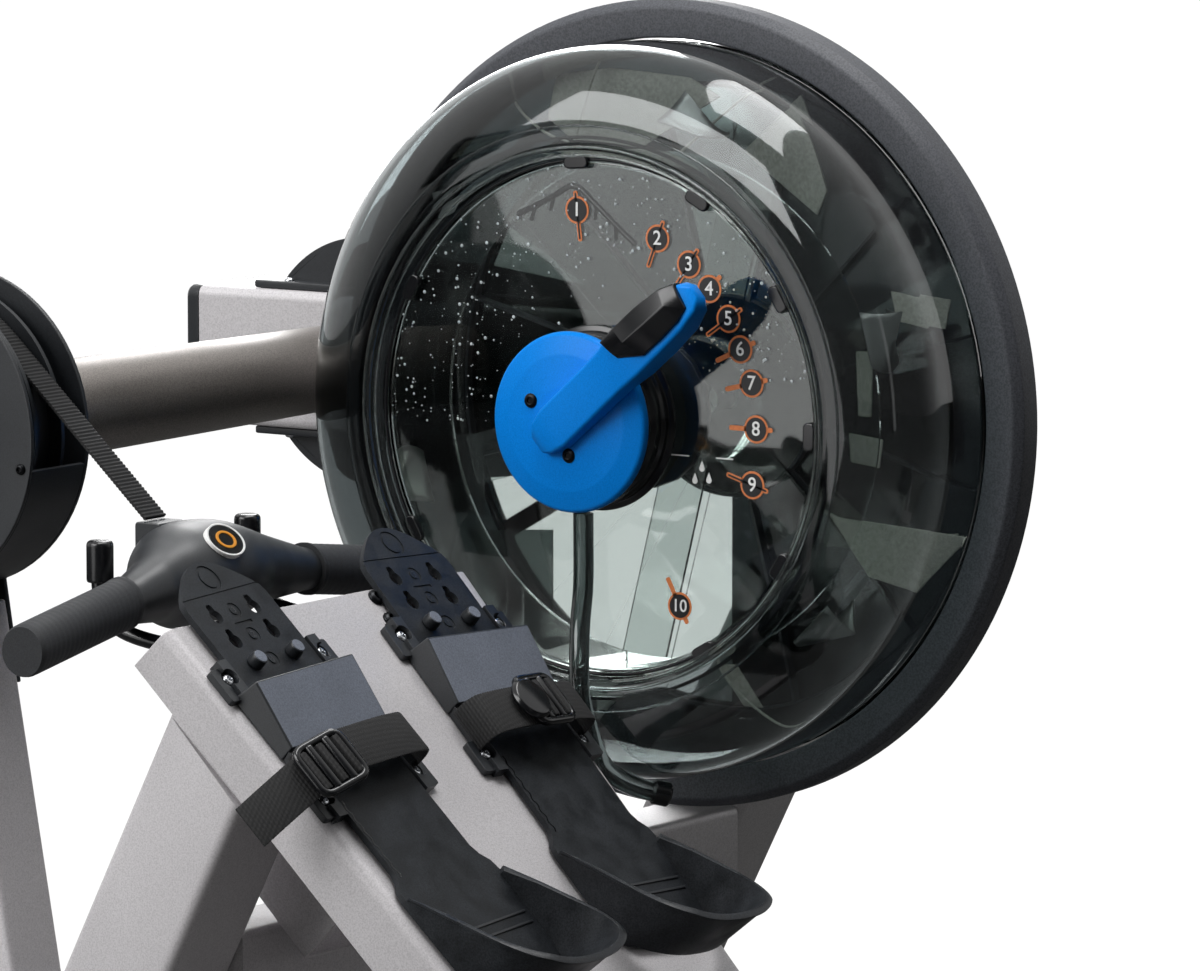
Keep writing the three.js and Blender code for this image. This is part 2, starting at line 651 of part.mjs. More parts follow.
function seatCushion() {
  const plan = new THREE.Shape();
  plan.moveTo(140, -60);
  plan.bezierCurveTo(146, 20, 120, 96, 70, 104);
  plan.bezierCurveTo(40, 108, 20, 92, 0, 92);
  plan.bezierCurveTo(-20, 92, -40, 108, -70, 104);
  plan.bezierCurveTo(-120, 96, -146, 20, -140, -60);
  plan.bezierCurveTo(-136, -110, -60, -114, 0, -114);
  plan.bezierCurveTo(60, -114, 136, -110, 140, -60);
  const cushion = new THREE.ExtrudeGeometry(plan, {
    depth: 26, bevelEnabled: true, bevelThickness: 11, bevelSize: 10, bevelSegments: 3, curveSegments: 4,
  });
  return cushion.translate(0, 0, 62.6);
}

// ---- console; local origin on its tilt hinge ----
const consoleLean = rad(-18);
const buttonSpots = [-40, 40];
function consoleCase() {
  const body = block(-92, 92, -16, 16, 12, 128);
  const ears = [-1, 1].map((side) => {
    const [a, b] = [side * 14.5, side * 21].sort((p, q) => p - q);
    return join(block(a, b, -8, 8, 0, 14), discX(8, a, b, 16));
  });
  const pockets = buttonSpots.map((x) => block(x - 15.4, x + 15.4, -20, -11, 19.6, 32.4));
  return cut(join(body, ...ears), ...pockets);
}
const consoleButton = () => block(-15, 15, -17.5, -13.6, -6, 6);

// ---- assembly: base ----
add('front_stabilizer', frontStabilizer(), powderCoat);
add('front_foot_left', foot(), rubber, place(-widthHalf + 24, stabilizer.y, 0));
add('front_foot_right', foot(), rubber, place(widthHalf - 24, stabilizer.y, 0));
add('rear_support', rearSupport(), powderCoat, place(seatLineX, rearPostY, 0));
add('rear_foot_left', foot(), rubber, place(seatLineX - 226, rearPostY, 0));
add('rear_foot_right', foot(), rubber, place(seatLineX + 226, rearPostY, 0));
add('transport_wheel_left', transportWheel(), rubber, place(-wheel.x, wheel.y, wheel.z));
add('transport_wheel_right', transportWheel(), rubber, place(wheel.x, wheel.y, wheel.z));

const railSection = tubeSection(rail.half * 2, rail.high - rail.low, 6, 4);
const railMiddle = (rail.high + rail.low) / 2;
add('rail', alongY(railSection, rail.rear, rail.front, 1), aluminium, place(seatLineX, 0, railMiddle));
const capHeight = rail.high - rail.low + 30;
const railCap = alongY(roundedRectangle(92, capHeight, 12), -lengthHalf, rail.rear - gap, 2);
add('rail_end_cap', railCap, blackPlastic, place(seatLineX, 0, railMiddle + 9));
add('lower_beam', lowerBeam(), powderCoat, place(seatLineX, 0, 0));

const toBoard = (geometry) => geometry.rotateX(board.slope).translate(0, board.y, board.z);
const boardUnder = toBoard(block(-300, 300, -700, 700, -board.sheet - gap, 900));
const armUnder = block(-300, 300, 0, 1200, tank.z - arm.size / 2 - gap, 1500);
// Room in the leg for the board's left flange and the bend above it.
const flangeIn = -board.halfWidth + board.sheet + gap;
const sheetUnder = -board.sheet - gap;
const flangeRoom = boardTaper(alongY(outline([
  [-400, 10], [-400, -board.flange - gap], [flangeIn, -board.flange - gap], [flangeIn, sheetUnder - 8],
  [flangeIn + 8, sheetUnder], [flangeIn + 8, 10],
]), -300, 300));
const flangeRelief = toBoard(flangeRoom.translate(board.x - legX.left, 0, 0));
add('left_leg', leaningLeg(boardUnder, flangeRelief), powderCoat, place(legX.left, 0, 0));
add('tank_leg', leaningLeg(armUnder), powderCoat, place(legX.right, 0, 0));
const crossFrom = legX.left + leg.size / 2 + gap;
const crossTo = legX.right - leg.size / 2 - gap;
const crossSection = tubeSection(60, 60, 5, 3);
const crossTube = extruded(crossSection, crossTo - crossFrom, 1)
  .applyMatrix4(new THREE.Matrix4().makeBasis(yAxis, zAxis, xAxis));
add('cross_tube', crossTube, powderCoat, place(crossFrom, 604, 392));

// ---- assembly: footboard ----
const footboard = place(board.x, board.y, board.z);
footboard.rotation.x = board.slope;
add('footboard', footboardPlate(), powderCoat, footboard);
const onSeatLine = place(seatLineX - board.x, 0, 0, footboard);
add('spine_beam', spineBeam(), powderCoat, onSeatLine);
add('handle_rest', handleRest(), blackPlastic, onSeatLine);
for (const [side, label] of [[-1, 'left'], [1, 'right']]) {
  const shoe = place(side * plate.spread, 0, 0, footboard);
  shoe.rotation.z = -side * plate.toeOut;
  add(`footplate_${label}`, footplateBase(), blackPlastic, shoe);
  add(`heel_slider_${label}`, heelSlider(), blackPlastic, shoe);
  add(`strap_${label}`, toeStrap(side < 0), webbing, shoe);
  const buckleGroup = side < 0 ? place(-62, -43, 28.2, shoe) : place(2, -35, 29.4, shoe);
  if (side < 0) buckleGroup.rotation.y = -leftBuckleTilt;
  add(`buckle_${label}`, buckle(), blackPlastic, buckleGroup);
}

// ---- assembly: drive line ----
add('front_upright', frontUpright(), powderCoat, place(seatLineX, 0, 0));
add('drive_housing_left', driveHousing(true), blackPlastic, place(seatLineX, 0, 0));
add('drive_housing_right', driveHousing(false), blackPlastic, place(seatLineX, 0, 0));
add('cross_shaft_tube', crossShaftTube(), bronzeTube, place(0, shaft.y, shaft.z));
add('drive_shaft', driveShaft(), steel, place(0, shaft.y, shaft.z));
add('belt_drum', beltDrum(), blackPlastic, place(seatLineX, shaft.y, shaft.z));
add('pull_belt', pullBelt(), webbing, place(seatLineX, 0, 0));
add('drive_pulley', grooved(drivePulley, shaft.r + 0.4, 28), aluminium, place(arm.x, shaft.y, shaft.z));
add('impeller_pulley', grooved(impellerPulley, 10.4, 18), aluminium, place(arm.x, tank.y, tank.z));
add('drive_belt', driveBelt(), rubber, place(arm.x, 0, 0));
add('tank_arm', tankArm(), powderCoat, place(arm.x, 0, tank.z));
add('arm_end_cap', armEndCap(), blackPlastic, place(arm.x, arm.frontY + gap, tank.z));
add('pulley_guard_upper', pulleyGuard(), blackPlastic, place(arm.x, shaft.y, shaft.z));
const lowerGuard = pulleyGuard().applyMatrix4(new THREE.Matrix4().makeScale(1, 1, -1));
add('pulley_guard_lower', lowerGuard, blackPlastic, place(arm.x, shaft.y, shaft.z));

// ---- assembly: tank ----
const tankGroup = place(tank.x, tank.y, tank.z);
add('tank_ring', clampRing(), textured, tankGroup);
add('front_tank_shell', frontShell(), smokedClear, tankGroup);
add('rear_tank_shell', rearShell(), blackPlastic, tankGroup);
add('storage_chamber', storageChamber(), smokedClear, tankGroup);
add('adjuster_socket', adjusterSocket(), blackPlastic, tankGroup);
add('transfer_pipe', transferPipe(), smokedClear, tankGroup);
add('impeller', impellerWheel(), steel, tankGroup);
const adjuster = place(0, 0, 0, tankGroup);
adjuster.rotation.x = leverAngle;
add('adjuster_hub', adjusterHub(), bluePlastic, adjuster);
add('adjuster_lever', adjusterLever(), bluePlastic, adjuster);
add('lever_grip', leverGrip(), blackPlastic, adjuster);
add('adjuster_valve', adjusterValve(), blackPlastic, adjuster);

// ---- assembly: handle, seat and console ----
const handleGroup = place(seatLineX, handle.y, handle.z);
add('handle_core', handleCore(), blackPlastic, handleGroup);
add('handle_grip_left', handleGrip(-1), rubber, handleGroup);
add('handle_grip_right', handleGrip(1), rubber, handleGroup);

const seat = place(seatLineX, seatY, rail.high);
add('seat_carriage', seatCarriage(), steel, seat);
add('seat_cushion', seatCushion(), vinyl, seat);
add('front_rollers', rollerPair(), rubber, place(0, 60, 22, seat));
add('rear_rollers', rollerPair(), rubber, place(0, -60, 22, seat));

const consoleGroup = place(seatLineX, 955, 938);
consoleGroup.rotation.x = consoleLean;
add('console_case', consoleCase(), blackPlastic, consoleGroup);
buttonSpots.forEach((x, i) => {
  add(`console_button_${i + 1}`, consoleButton(), rubber, place(x, 0, 26, consoleGroup));
});

export default machine;
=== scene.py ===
import json
import math
import random

import bmesh
import bpy
from mathutils import Matrix, Vector


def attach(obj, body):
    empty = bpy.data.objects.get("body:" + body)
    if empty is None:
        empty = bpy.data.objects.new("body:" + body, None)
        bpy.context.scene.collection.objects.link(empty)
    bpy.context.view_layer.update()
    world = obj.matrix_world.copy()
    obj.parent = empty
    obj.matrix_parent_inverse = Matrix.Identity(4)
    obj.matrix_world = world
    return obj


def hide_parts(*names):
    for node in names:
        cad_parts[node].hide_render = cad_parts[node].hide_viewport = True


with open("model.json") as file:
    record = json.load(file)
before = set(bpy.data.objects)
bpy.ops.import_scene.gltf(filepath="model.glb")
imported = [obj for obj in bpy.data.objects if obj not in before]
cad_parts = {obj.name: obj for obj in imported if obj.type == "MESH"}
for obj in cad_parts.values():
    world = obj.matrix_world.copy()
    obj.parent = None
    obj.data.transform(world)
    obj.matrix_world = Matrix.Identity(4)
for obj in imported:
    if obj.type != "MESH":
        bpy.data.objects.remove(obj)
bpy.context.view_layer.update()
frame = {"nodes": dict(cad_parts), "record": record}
print("frame loaded:", len(frame["nodes"]), "nodes")

# Lengths are in millimetres and angles in degrees; a piece is scaled to metres when its mesh is made.
millimetre = 0.001
layout = {
    "seatLine": -200,  # x of the rail, footboard and pull belt
    "tank": (230, 558, 740),
    "arm": (369, 740),  # x and z of the square arm's middle
    "shaft": (918, 740),  # y and z of the drive shaft
    "board": (-204, 503, 572),
    "boardSlope": 45.5,
    "spineShift": 4,  # the board's beam is on the seat line, a little to the right of the board's own middle
    "footSpread": 102.5,
    "toeOut": 3.0,
    "legs": (-337, 380),  # x of the left leg and of the tank's leg
}


def shift(x, y, z):
    return Matrix.Translation((x, y, z))


def turned(degrees, axis):
    return Matrix.Rotation(math.radians(degrees), 4, axis)


tankAt = shift(*layout["tank"])
boardAt = shift(*layout["board"]) @ turned(layout["boardSlope"], "X")
spineAt = boardAt @ shift(layout["spineShift"], 0, 0)


def shoeAt(side):  # side is -1 for the left foot and +1 for the right
    return boardAt @ shift(side * layout["footSpread"], 0, 0) @ turned(-side * layout["toeOut"], "Z")


# Camera, light and floor, in metres.
view = {"place": (-4.491, -2.493, 1.378), "towards": (0.8279, 0.5471, -0.1234), "lens": 229.27, "sensor": 36}


def makeCamera():
    data = bpy.data.cameras.new("camera")
    data.lens = view["lens"]
    data.sensor_width = view["sensor"]
    data.clip_end = 100
    camera = bpy.data.objects.new("camera", data)
    camera.location = view["place"]
    camera.rotation_euler = Vector(view["towards"]).to_track_quat("-Z", "Y").to_euler()
    bpy.context.scene.collection.objects.link(camera)
    bpy.context.scene.camera = camera


def linear(hexColor):
    channels = [int(hexColor[i:i + 2], 16) / 255 for i in (1, 3, 5)]
    return [c / 12.92 if c <= 0.04045 else ((c + 0.055) / 1.055) ** 2.4 for c in channels] + [1]


def addNode(tree, kind, settings=None, links=None):
    # Settings are sockets or attributes of the node; stops are the places and colours of a ramp.
    node = tree.nodes.new("ShaderNode" + kind)
    sockets = {}
    for key, value in (settings or {}).items():
        if key == "stops":
            for element, (place, colour) in zip(node.color_ramp.elements, value):
                element.position = place
                element.color = linear(colour)
        elif isinstance(key, int) or key in node.inputs:
            sockets[key] = value
        else:
            setattr(node, key, value)
    for key, value in sockets.items():
        node.inputs[key].default_value = value
    for key, source in (links or {}).items():
        tree.links.new(source, node.inputs[key])
    return node


lamps = {
    # name: place, what it points at, width, height, watts, roll
    "keySoftbox": ((-3.9, 2.2, 3.1), (0, 0.5, 0.7), 3.4, 2.2, 160, 0),
    "overheadStrip": ((0, 0.35, 3.6), (0, 0.4, 0.6), 3.2, 1.1, 98, 0),
    "sidePanel": ((-2.37, 1.62, 0.74), (0.12, 0.56, 0.74), 1.2, 1.5, 9.5, 30),  # mirrored by the dial
    "frontStrip": ((-3.3, -3.3, 1.5), (0.1, 0.4, 0.7), 0.3, 2.4, 2, 0),
    "backStrip": ((2.6, 2.4, 1.9), (0.1, 0.5, 0.7), 0.8, 2.6, 45, 0),
}
studio = {
    "ambient": "#dcdcdc",
    "ambientStrength": 0.07,
    # Polished parts mirror a white backdrop on this side and a darker room opposite.
    "backdropSide": (0.72, 0.52, 0.46),
    "mirrorFrom": -0.55,
    "mirrorTo": 0.45,
    "mirrorDark": 0.06,
    "mirrorBright": 0.95,
    "floorHalf": 30,
    "bounce": "#5e5e5d",  # what the floor sends back up at the machine
    "paper": "#f4f4f3",  # what the camera sees of it, with the machine's shadow
    "glow": 1.05,
    "glowNear": 0.62,  # the floor's share of glow near the machine, where its shadow has to show
    "glowFar": 0.97,
    "shadowFrom": 1.6,
    "shadowTo": 3.6,
}


def eitherRay(tree, first, second):  # 1 on light paths of either kind
    path = addNode(tree, "LightPath")
    return addNode(tree, "Math", {"operation": "MAXIMUM"}, {0: path.outputs[first], 1: path.outputs[second]})


def makeLamps():
    for name, (place, target, width, height, watts, roll) in lamps.items():
        data = bpy.data.lights.new(name, "AREA")
        data.shape = "RECTANGLE"
        data.size = width
        data.size_y = height
        data.energy = watts
        lamp = bpy.data.objects.new(name, data)
        lamp.location = place
        aim = (Vector(target) - Vector(place)).to_track_quat("-Z", "Y").to_matrix().to_4x4()
        lamp.rotation_euler = (aim @ turned(roll, "Z")).to_euler()
        bpy.context.scene.collection.objects.link(lamp)


def makeWorld():
    world = bpy.data.worlds.new("studio")
    bpy.context.scene.world = world
    world.use_nodes = True
    tree = world.node_tree
    tree.nodes.clear()
    seen = eitherRay(tree, "Is Camera Ray", "Is Transmission Ray")
    path = addNode(tree, "LightPath")
    direction = addNode(tree, "TexCoord")
    facing = addNode(tree, "VectorMath", {"operation": "DOT_PRODUCT", 1: studio["backdropSide"]},
                     {0: direction.outputs["Generated"]})
    room = addNode(tree, "MapRange", {"From Min": studio["mirrorFrom"], "From Max": studio["mirrorTo"],
                                      "To Min": studio["mirrorDark"], "To Max": studio["mirrorBright"],
                                      "interpolation_type": "SMOOTHSTEP"}, {"Value": facing.outputs["Value"]})
    plain = addNode(tree, "Background", {"Color": linear(studio["ambient"]),
                                         "Strength": studio["ambientStrength"]})
    white = addNode(tree, "Background", {"Color": (1, 1, 1, 1), "Strength": 1})
    shine = addNode(tree, "Background", {"Color": (1, 1, 1, 1)}, {"Strength": room.outputs["Result"]})
    glossy = addNode(tree, "MixShader", {},
                     {0: path.outputs["Is Glossy Ray"], 1: plain.outputs[0], 2: shine.outputs[0]})
    both = addNode(tree, "MixShader", {}, {0: seen.outputs[0], 1: glossy.outputs[0], 2: white.outputs[0]})
    addNode(tree, "OutputWorld", {}, {"Surface": both.outputs[0]})


def makeFloor():
    paper = bpy.data.materials.new("whitePaperFloor")  # matt studio paper: no gloss, takes soft shadows
    paper.use_nodes = True
    tree = paper.node_tree
    tree.nodes.clear()
    seen = eitherRay(tree, "Is Camera Ray", "Is Transmission Ray")
    place = addNode(tree, "NewGeometry")
    reach = addNode(tree, "VectorMath", {"operation": "LENGTH"}, {"Vector": place.outputs["Position"]})
    share = addNode(tree, "MapRange", {"From Min": studio["shadowFrom"], "From Max": studio["shadowTo"],
                                       "To Min": studio["glowNear"], "To Max": studio["glowFar"]},
                    {"Value": reach.outputs["Value"]})
    bounce = addNode(tree, "BsdfDiffuse", {"Color": linear(studio["bounce"])})
    shaded = addNode(tree, "BsdfDiffuse", {"Color": linear(studio["paper"])})
    glow = addNode(tree, "Emission", {"Color": (1, 1, 1, 1), "Strength": studio["glow"]})
    lit = addNode(tree, "MixShader", {},
                  {0: share.outputs["Result"], 1: shaded.outputs[0], 2: glow.outputs[0]})
    mix = addNode(tree, "MixShader", {}, {0: seen.outputs[0], 1: bounce.outputs[0], 2: lit.outputs[0]})
    addNode(tree, "OutputMaterial", {}, {"Surface": mix.outputs[0]})
    half = studio["floorHalf"]
    mesh = bpy.data.meshes.new("floor")
    corners = [(-half, -half, 0), (half, -half, 0), (half, half, 0), (-half, half, 0)]
    mesh.from_pydata(corners, [], [(0, 1, 2, 3)])
    mesh.materials.append(paper)
    floor = bpy.data.objects.new("floor", mesh)
    bpy.context.scene.collection.objects.link(floor)


makeCamera()
makeLamps()
makeWorld()
makeFloor()
bpy.context.scene.view_settings.view_transform = "Standard"
print("camera and studio ready")


# Finishes, each named for the real material, or for the light or shade painted into it.
def newMaterial(name, settings):
    material = bpy.data.materials.new(name)
    material.use_nodes = True
    tree = material.node_tree
    tree.nodes.clear()
    shader = addNode(tree, "BsdfPrincipled", settings)
    addNode(tree, "OutputMaterial", {}, {"Surface": shader.outputs[0]})
    place = addNode(tree, "TexCoord").outputs["Object"]
    return material, tree, shader, place


def perMetre(size):  # pattern scale that gives features of this many millimetres
    return 1000 / size


# What a grained look has unless it says otherwise.
plainGrain = {"metal": 0, "ior": 1.5, "darkFrom": 0.35, "lightFrom": 0.62, "patchSize": 90, "patch": 0.05,
              "roughVary": 0.05, "bump": 0.3, "bumpDepth": 0.15}


def grainFinish(name, changes):
    # A two-tone grain, slow patches of sheen, and a bump from the same grain.
    look = {**plainGrain, **changes}
    material, tree, shader, place = newMaterial(name, {"Metallic": look["metal"], "IOR": look["ior"]})
    grain = addNode(tree, "TexNoise", {"Scale": perMetre(look["grain"]), "Detail": 2.5, "Roughness": 0.6},
                    {"Vector": place})
    patch = addNode(tree, "TexNoise", {"Scale": perMetre(look["patchSize"]), "Detail": 3}, {"Vector": place})
    stops = [(look["darkFrom"], look["dark"]), (look["lightFrom"], look["light"])]
    tone = addNode(tree, "ValToRGB", {"stops": stops}, {"Fac": grain.outputs["Fac"]})
    spread = {"From Min": 0.3, "From Max": 0.7}
    shade = addNode(tree, "MapRange", {**spread, "To Min": 1 - look["patch"], "To Max": 1},
                    {"Value": patch.outputs["Fac"]})
    colour = addNode(tree, "VectorMath", {"operation": "SCALE"},
                     {0: tone.outputs["Color"], "Scale": shade.outputs["Result"]})
    tree.links.new(colour.outputs[0], shader.inputs["Base Color"])
    low, high = look["rough"] - look["roughVary"], look["rough"] + look["roughVary"]
    rough = addNode(tree, "MapRange", {**spread, "To Min": low, "To Max": high},
                    {"Value": patch.outputs["Fac"]})
    tree.links.new(rough.outputs["Result"], shader.inputs["Roughness"])
    bump = addNode(tree, "Bump", {"Strength": look["bump"], "Distance": look["bumpDepth"] * millimetre},
                   {"Height": grain.outputs["Fac"]})
    tree.links.new(bump.outputs[0], shader.inputs["Normal"])
    return material


# Grains, patches and bumps are sizes in millimetres.
grainLooks = {
    # Powder coat on steel: sprayed and baked, a fine two-tone speckle with a soft satin sheen.
    "powderCoatedSteel": {"dark": "#b8b5b7", "light": "#d2cfd1", "grain": 1.2, "darkFrom": 0.3,
                          "lightFrom": 0.6, "rough": 0.5, "metal": 0.2, "bump": 0.2, "bumpDepth": 0.1,
                          "patch": 0.03},
    # The cross shaft tube: a warm grey metallic coat, finer and darker than the frame's.
    "greyMetallicCoat": {"dark": "#6c6763", "light": "#88827d", "grain": 1.1, "rough": 0.42, "metal": 0.55,
                         "bump": 0.12, "bumpDepth": 0.08, "patch": 0.06},
    # Moulded ABS with a spark-eroded grain: near black with a cool grey bloom.
    "grainedBlackAbs": {"dark": "#1a1c1f", "light": "#26292d", "grain": 0.9, "rough": 0.42, "bump": 0.35,
                        "bumpDepth": 0.1, "patch": 0.12, "roughVary": 0.08},
    # The same ABS where shoes have polished it: smoother, with cloudy scuffs.
    "scuffedBlackAbs": {"dark": "#1e2023", "light": "#2e3135", "grain": 1.3, "ior": 1.28, "rough": 0.45,
                        "bump": 0.2, "bumpDepth": 0.08, "patch": 0.45, "patchSize": 18, "roughVary": 0.12},
    # Up-facing tops of the toe bridges and pegs: a paler, drier blue-grey laid on the black plastic, painted
    # light on the tops.
    "litTopPaintedGrey": {"dark": "#626874", "light": "#777d89", "grain": 1.2, "rough": 0.62, "bump": 0.3,
                        "bumpDepth": 0.08, "patch": 0.16, "patchSize": 30},
    # Structural foam of the clamp ring: coarse leather-like texture, dark grey.
    "texturedRingAbs": {"dark": "#35373c", "light": "#4c4e54", "grain": 1.5, "rough": 0.6, "bump": 0.6,
                        "bumpDepth": 0.25, "patch": 0.08},
    # Pigmented ABS of the adjuster: saturated blue with a satin moulded skin.
    "blueMouldedAbs": {"dark": "#007ad6", "light": "#0a86e6", "grain": 1.0, "rough": 0.36, "ior": 1.2,
                       "bump": 0.06, "bumpDepth": 0.04, "patch": 0.02},
    # Polished ABS of the buckles and guards' edges: deep black with sharp lights.
    "polishedBlackAbs": {"dark": "#0b0c0e", "light": "#121316", "grain": 2.0, "rough": 0.2, "bump": 0.05,
                         "bumpDepth": 0.03},
    # Vulcanised rubber: matt black, slightly dusty.
    "blackRubber": {"dark": "#1d1e21", "light": "#2b2d30", "grain": 0.8, "rough": 0.78, "bumpDepth": 0.1,
                    "patch": 0.2, "patchSize": 40},
    # Anodised aluminium: cold satin grey.
    "anodisedAluminium": {"dark": "#94979c", "light": "#a4a7ac", "grain": 0.9, "rough": 0.56, "metal": 0.7,
                          "bump": 0.05, "bumpDepth": 0.02, "patch": 0.03},
    # Zinc-plated screws: small bright heads.
    "zincPlatedScrew": {"dark": "#8d9096", "light": "#d5d7da", "grain": 2.0, "rough": 0.22, "metal": 1,
                        "bump": 0.05, "bumpDepth": 0.02},
    # Black-oxide screws: a thin dark film over steel, so the heads are black but still metallic.
    "blackOxideScrew": {"dark": "#101113", "light": "#1c1d20", "grain": 1.5, "rough": 0.3, "metal": 0.8},
    # Screen inks of the dial and the badge: flat, slightly mottled colours.
    "blackInk": {"dark": "#0d0d0f", "light": "#151518", "grain": 1.5, "rough": 0.4},
    "orangeInk": {"dark": "#c9713c", "light": "#dd8148", "grain": 1.5, "rough": 0.45},
    "amberInk": {"dark": "#d98a12", "light": "#e89a1c", "grain": 1.5, "rough": 0.4},
    "whiteInk": {"dark": "#e9e9e7", "light": "#f6f6f4", "grain": 1.5, "rough": 0.45},
    # Blades and plates inside the tank, dulled by water; their near-white colour is painted light, so they
    # read bright behind the smoked shell.
    "brightPaintedBladeSteel": {"dark": "#d2cec2", "light": "#efebdf", "grain": 3.0, "rough": 0.5, "metal": 0.3,
                       "bump": 0.1, "bumpDepth": 0.05},
    # Console display: a grey-green liquid crystal panel.
    "liquidCrystal": {"dark": "#8b9588", "light": "#9aa497", "grain": 0.8, "rough": 0.25, "bump": 0.02,
                      "bumpDepth": 0.02},
}


def stainlessFinish():
    # Rolled stainless sheet: fine lengthwise lines that stretch the highlights.
    material, tree, shader, place = newMaterial("rolledStainless", {"Metallic": 1,
                                                                    "Base Color": linear("#bdbcb8")})
    stretched = addNode(tree, "Mapping", {"Scale": (1, 14, 1)}, {"Vector": place})
    lines = addNode(tree, "TexNoise", {"Scale": perMetre(9), "Detail": 4}, {"Vector": stretched.outputs[0]})
    rough = addNode(tree, "MapRange", {"To Min": 0.26, "To Max": 0.42}, {"Value": lines.outputs["Fac"]})
    tree.links.new(rough.outputs["Result"], shader.inputs["Roughness"])
    bump = addNode(tree, "Bump", {"Strength": 0.15, "Distance": 0.1 * millimetre},
                   {"Height": lines.outputs["Fac"]})
    tree.links.new(bump.outputs[0], shader.inputs["Normal"])
    return material


def dropFinish():
    # Condensed water on the dial: beads that scatter a little light, so they read as pale dots.
    material, tree, shader, place = newMaterial("condensedWater", {"Base Color": linear("#e6ecee"),
                                                                   "Transmission Weight": 0.55, "IOR": 1.33})
    film = addNode(tree, "TexNoise", {"Scale": perMetre(1.5), "Detail": 1}, {"Vector": place})
    rough = addNode(tree, "MapRange", {"To Min": 0.04, "To Max": 0.14}, {"Value": film.outputs["Fac"]})
    tree.links.new(rough.outputs["Result"], shader.inputs["Roughness"])
    return material


polycarbonateLooks = {
    # name: tint, tint of its shadow, roughness, IOR, weight of the clear hard coat
    "smokedPolycarbonate": ("#888e8f", "#e4e8e8", 0.02, 1.36, 0.3),  # front shell: a thin grey smoke
    "clearPolycarbonate": ("#dde3e1", "#e6ebe9", 0.03, 1.5, 0),  # dial and impeller arms: almost colourless
    "tintedPvcTube": ("#5b6363", "#8a9090", 0.03, 1.5, 0),  # transfer pipe: extruded, its walls read dark
    "halfShadePaintedPolycarbonate": ("#505957", "#7c8684", 0.06, 1.5, 0),  # rear wall where light comes through: a mid-dark tint, painted shade
    "shadePaintedPolycarbonate": ("#1f2425", "#4c5252", 0.08, 1.5, 0),  # rear wall where hardly any does: a near-black tint, painted shade
}


def polycarbonateFinish(name, tint, shadowTint, rough, ior, coat):
    # Injection-moulded polycarbonate: clear, tinted through, with crisp reflections and slight flow marks.
    material, tree, shader, place = newMaterial(name, {"Base Color": linear(tint), "Transmission Weight": 1,
                                                       "Roughness": rough, "IOR": ior, "Coat Weight": coat,
                                                       "Coat Roughness": 0.07})
    flow = addNode(tree, "TexNoise", {"Scale": perMetre(60), "Detail": 1}, {"Vector": place})
    bump = addNode(tree, "Bump", {"Strength": 0.06, "Distance": 1.5 * millimetre},
                   {"Height": flow.outputs["Fac"]})
    tree.links.new(bump.outputs[0], shader.inputs["Normal"])
    soft = eitherRay(tree, "Is Shadow Ray", "Is Diffuse Ray")
    clear = addNode(tree, "BsdfTransparent", {"Color": linear(shadowTint)})
    mix = addNode(tree, "MixShader", {}, {0: soft.outputs[0], 1: shader.outputs[0], 2: clear.outputs[0]})
    output = next(n for n in tree.nodes if n.type == "OUTPUT_MATERIAL")
    tree.links.new(mix.outputs[0], output.inputs["Surface"])
    return material


def webbingFinish():
    # Woven polyester webbing: the ribs are modelled, the yarns across them are a fine twill.
    # The yarns are drawn at 1.4 mm, coarser than the real ones, which would be too fine to show.
    material, tree, shader, place = newMaterial("wovenPolyester", {"Sheen Weight": 0.03,
                                                                   "Sheen Roughness": 0.5})
    across = addNode(tree, "Mapping", {"Rotation": (0, 0, 1.5708)}, {"Vector": place})
    yarn = addNode(tree, "TexWave", {"Scale": perMetre(1.4) / 6.2832, "Distortion": 0.6, "Detail": 2},
                   {"Vector": across.outputs[0]})
    fluff = addNode(tree, "TexNoise", {"Scale": perMetre(0.8), "Detail": 3}, {"Vector": place})
    tone = addNode(tree, "ValToRGB", {"stops": [(0, "#060607"), (1, "#131314")]},
                   {"Fac": yarn.outputs["Fac"]})
    tree.links.new(tone.outputs["Color"], shader.inputs["Base Color"])
    rough = addNode(tree, "MapRange", {"To Min": 0.7, "To Max": 0.95}, {"Value": fluff.outputs["Fac"]})
    tree.links.new(rough.outputs["Result"], shader.inputs["Roughness"])
    bump = addNode(tree, "Bump", {"Strength": 0.6, "Distance": 0.2 * millimetre},
                   {"Height": yarn.outputs["Fac"]})
    tree.links.new(bump.outputs[0], shader.inputs["Normal"])
    return material


def vinylFinish():
    # Upholstery vinyl: embossed pebble grain over soft foam, with a low sheen.
    material, tree, shader, place = newMaterial("pebbledVinyl", {"Coat Weight": 0.1, "Coat Roughness": 0.4})
    pebble = addNode(tree, "TexVoronoi", {"Scale": perMetre(1.9)}, {"Vector": place})
    height = pebble.outputs["Distance"]
    tone = addNode(tree, "ValToRGB", {"stops": [(0, "#23262b"), (1, "#15171a")]}, {"Fac": height})
    tree.links.new(tone.outputs["Color"], shader.inputs["Base Color"])
    rough = addNode(tree, "MapRange", {"To Min": 0.42, "To Max": 0.62}, {"Value": height})
    tree.links.new(rough.outputs["Result"], shader.inputs["Roughness"])
    bump = addNode(tree, "Bump", {"Strength": 0.4, "Distance": 0.2 * millimetre, "invert": True},
                   {"Height": height})
    tree.links.new(bump.outputs[0], shader.inputs["Normal"])
    return material


finishes = {name: grainFinish(name, look) for name, look in grainLooks.items()}
finishes.update({name: polycarbonateFinish(name, *look) for name, look in polycarbonateLooks.items()})
finishes["rolledStainless"] = stainlessFinish()
finishes["condensedWater"] = dropFinish()
finishes["wovenPolyester"] = webbingFinish()
finishes["pebbledVinyl"] = vinylFinish()
print("finishes made:", len(finishes))


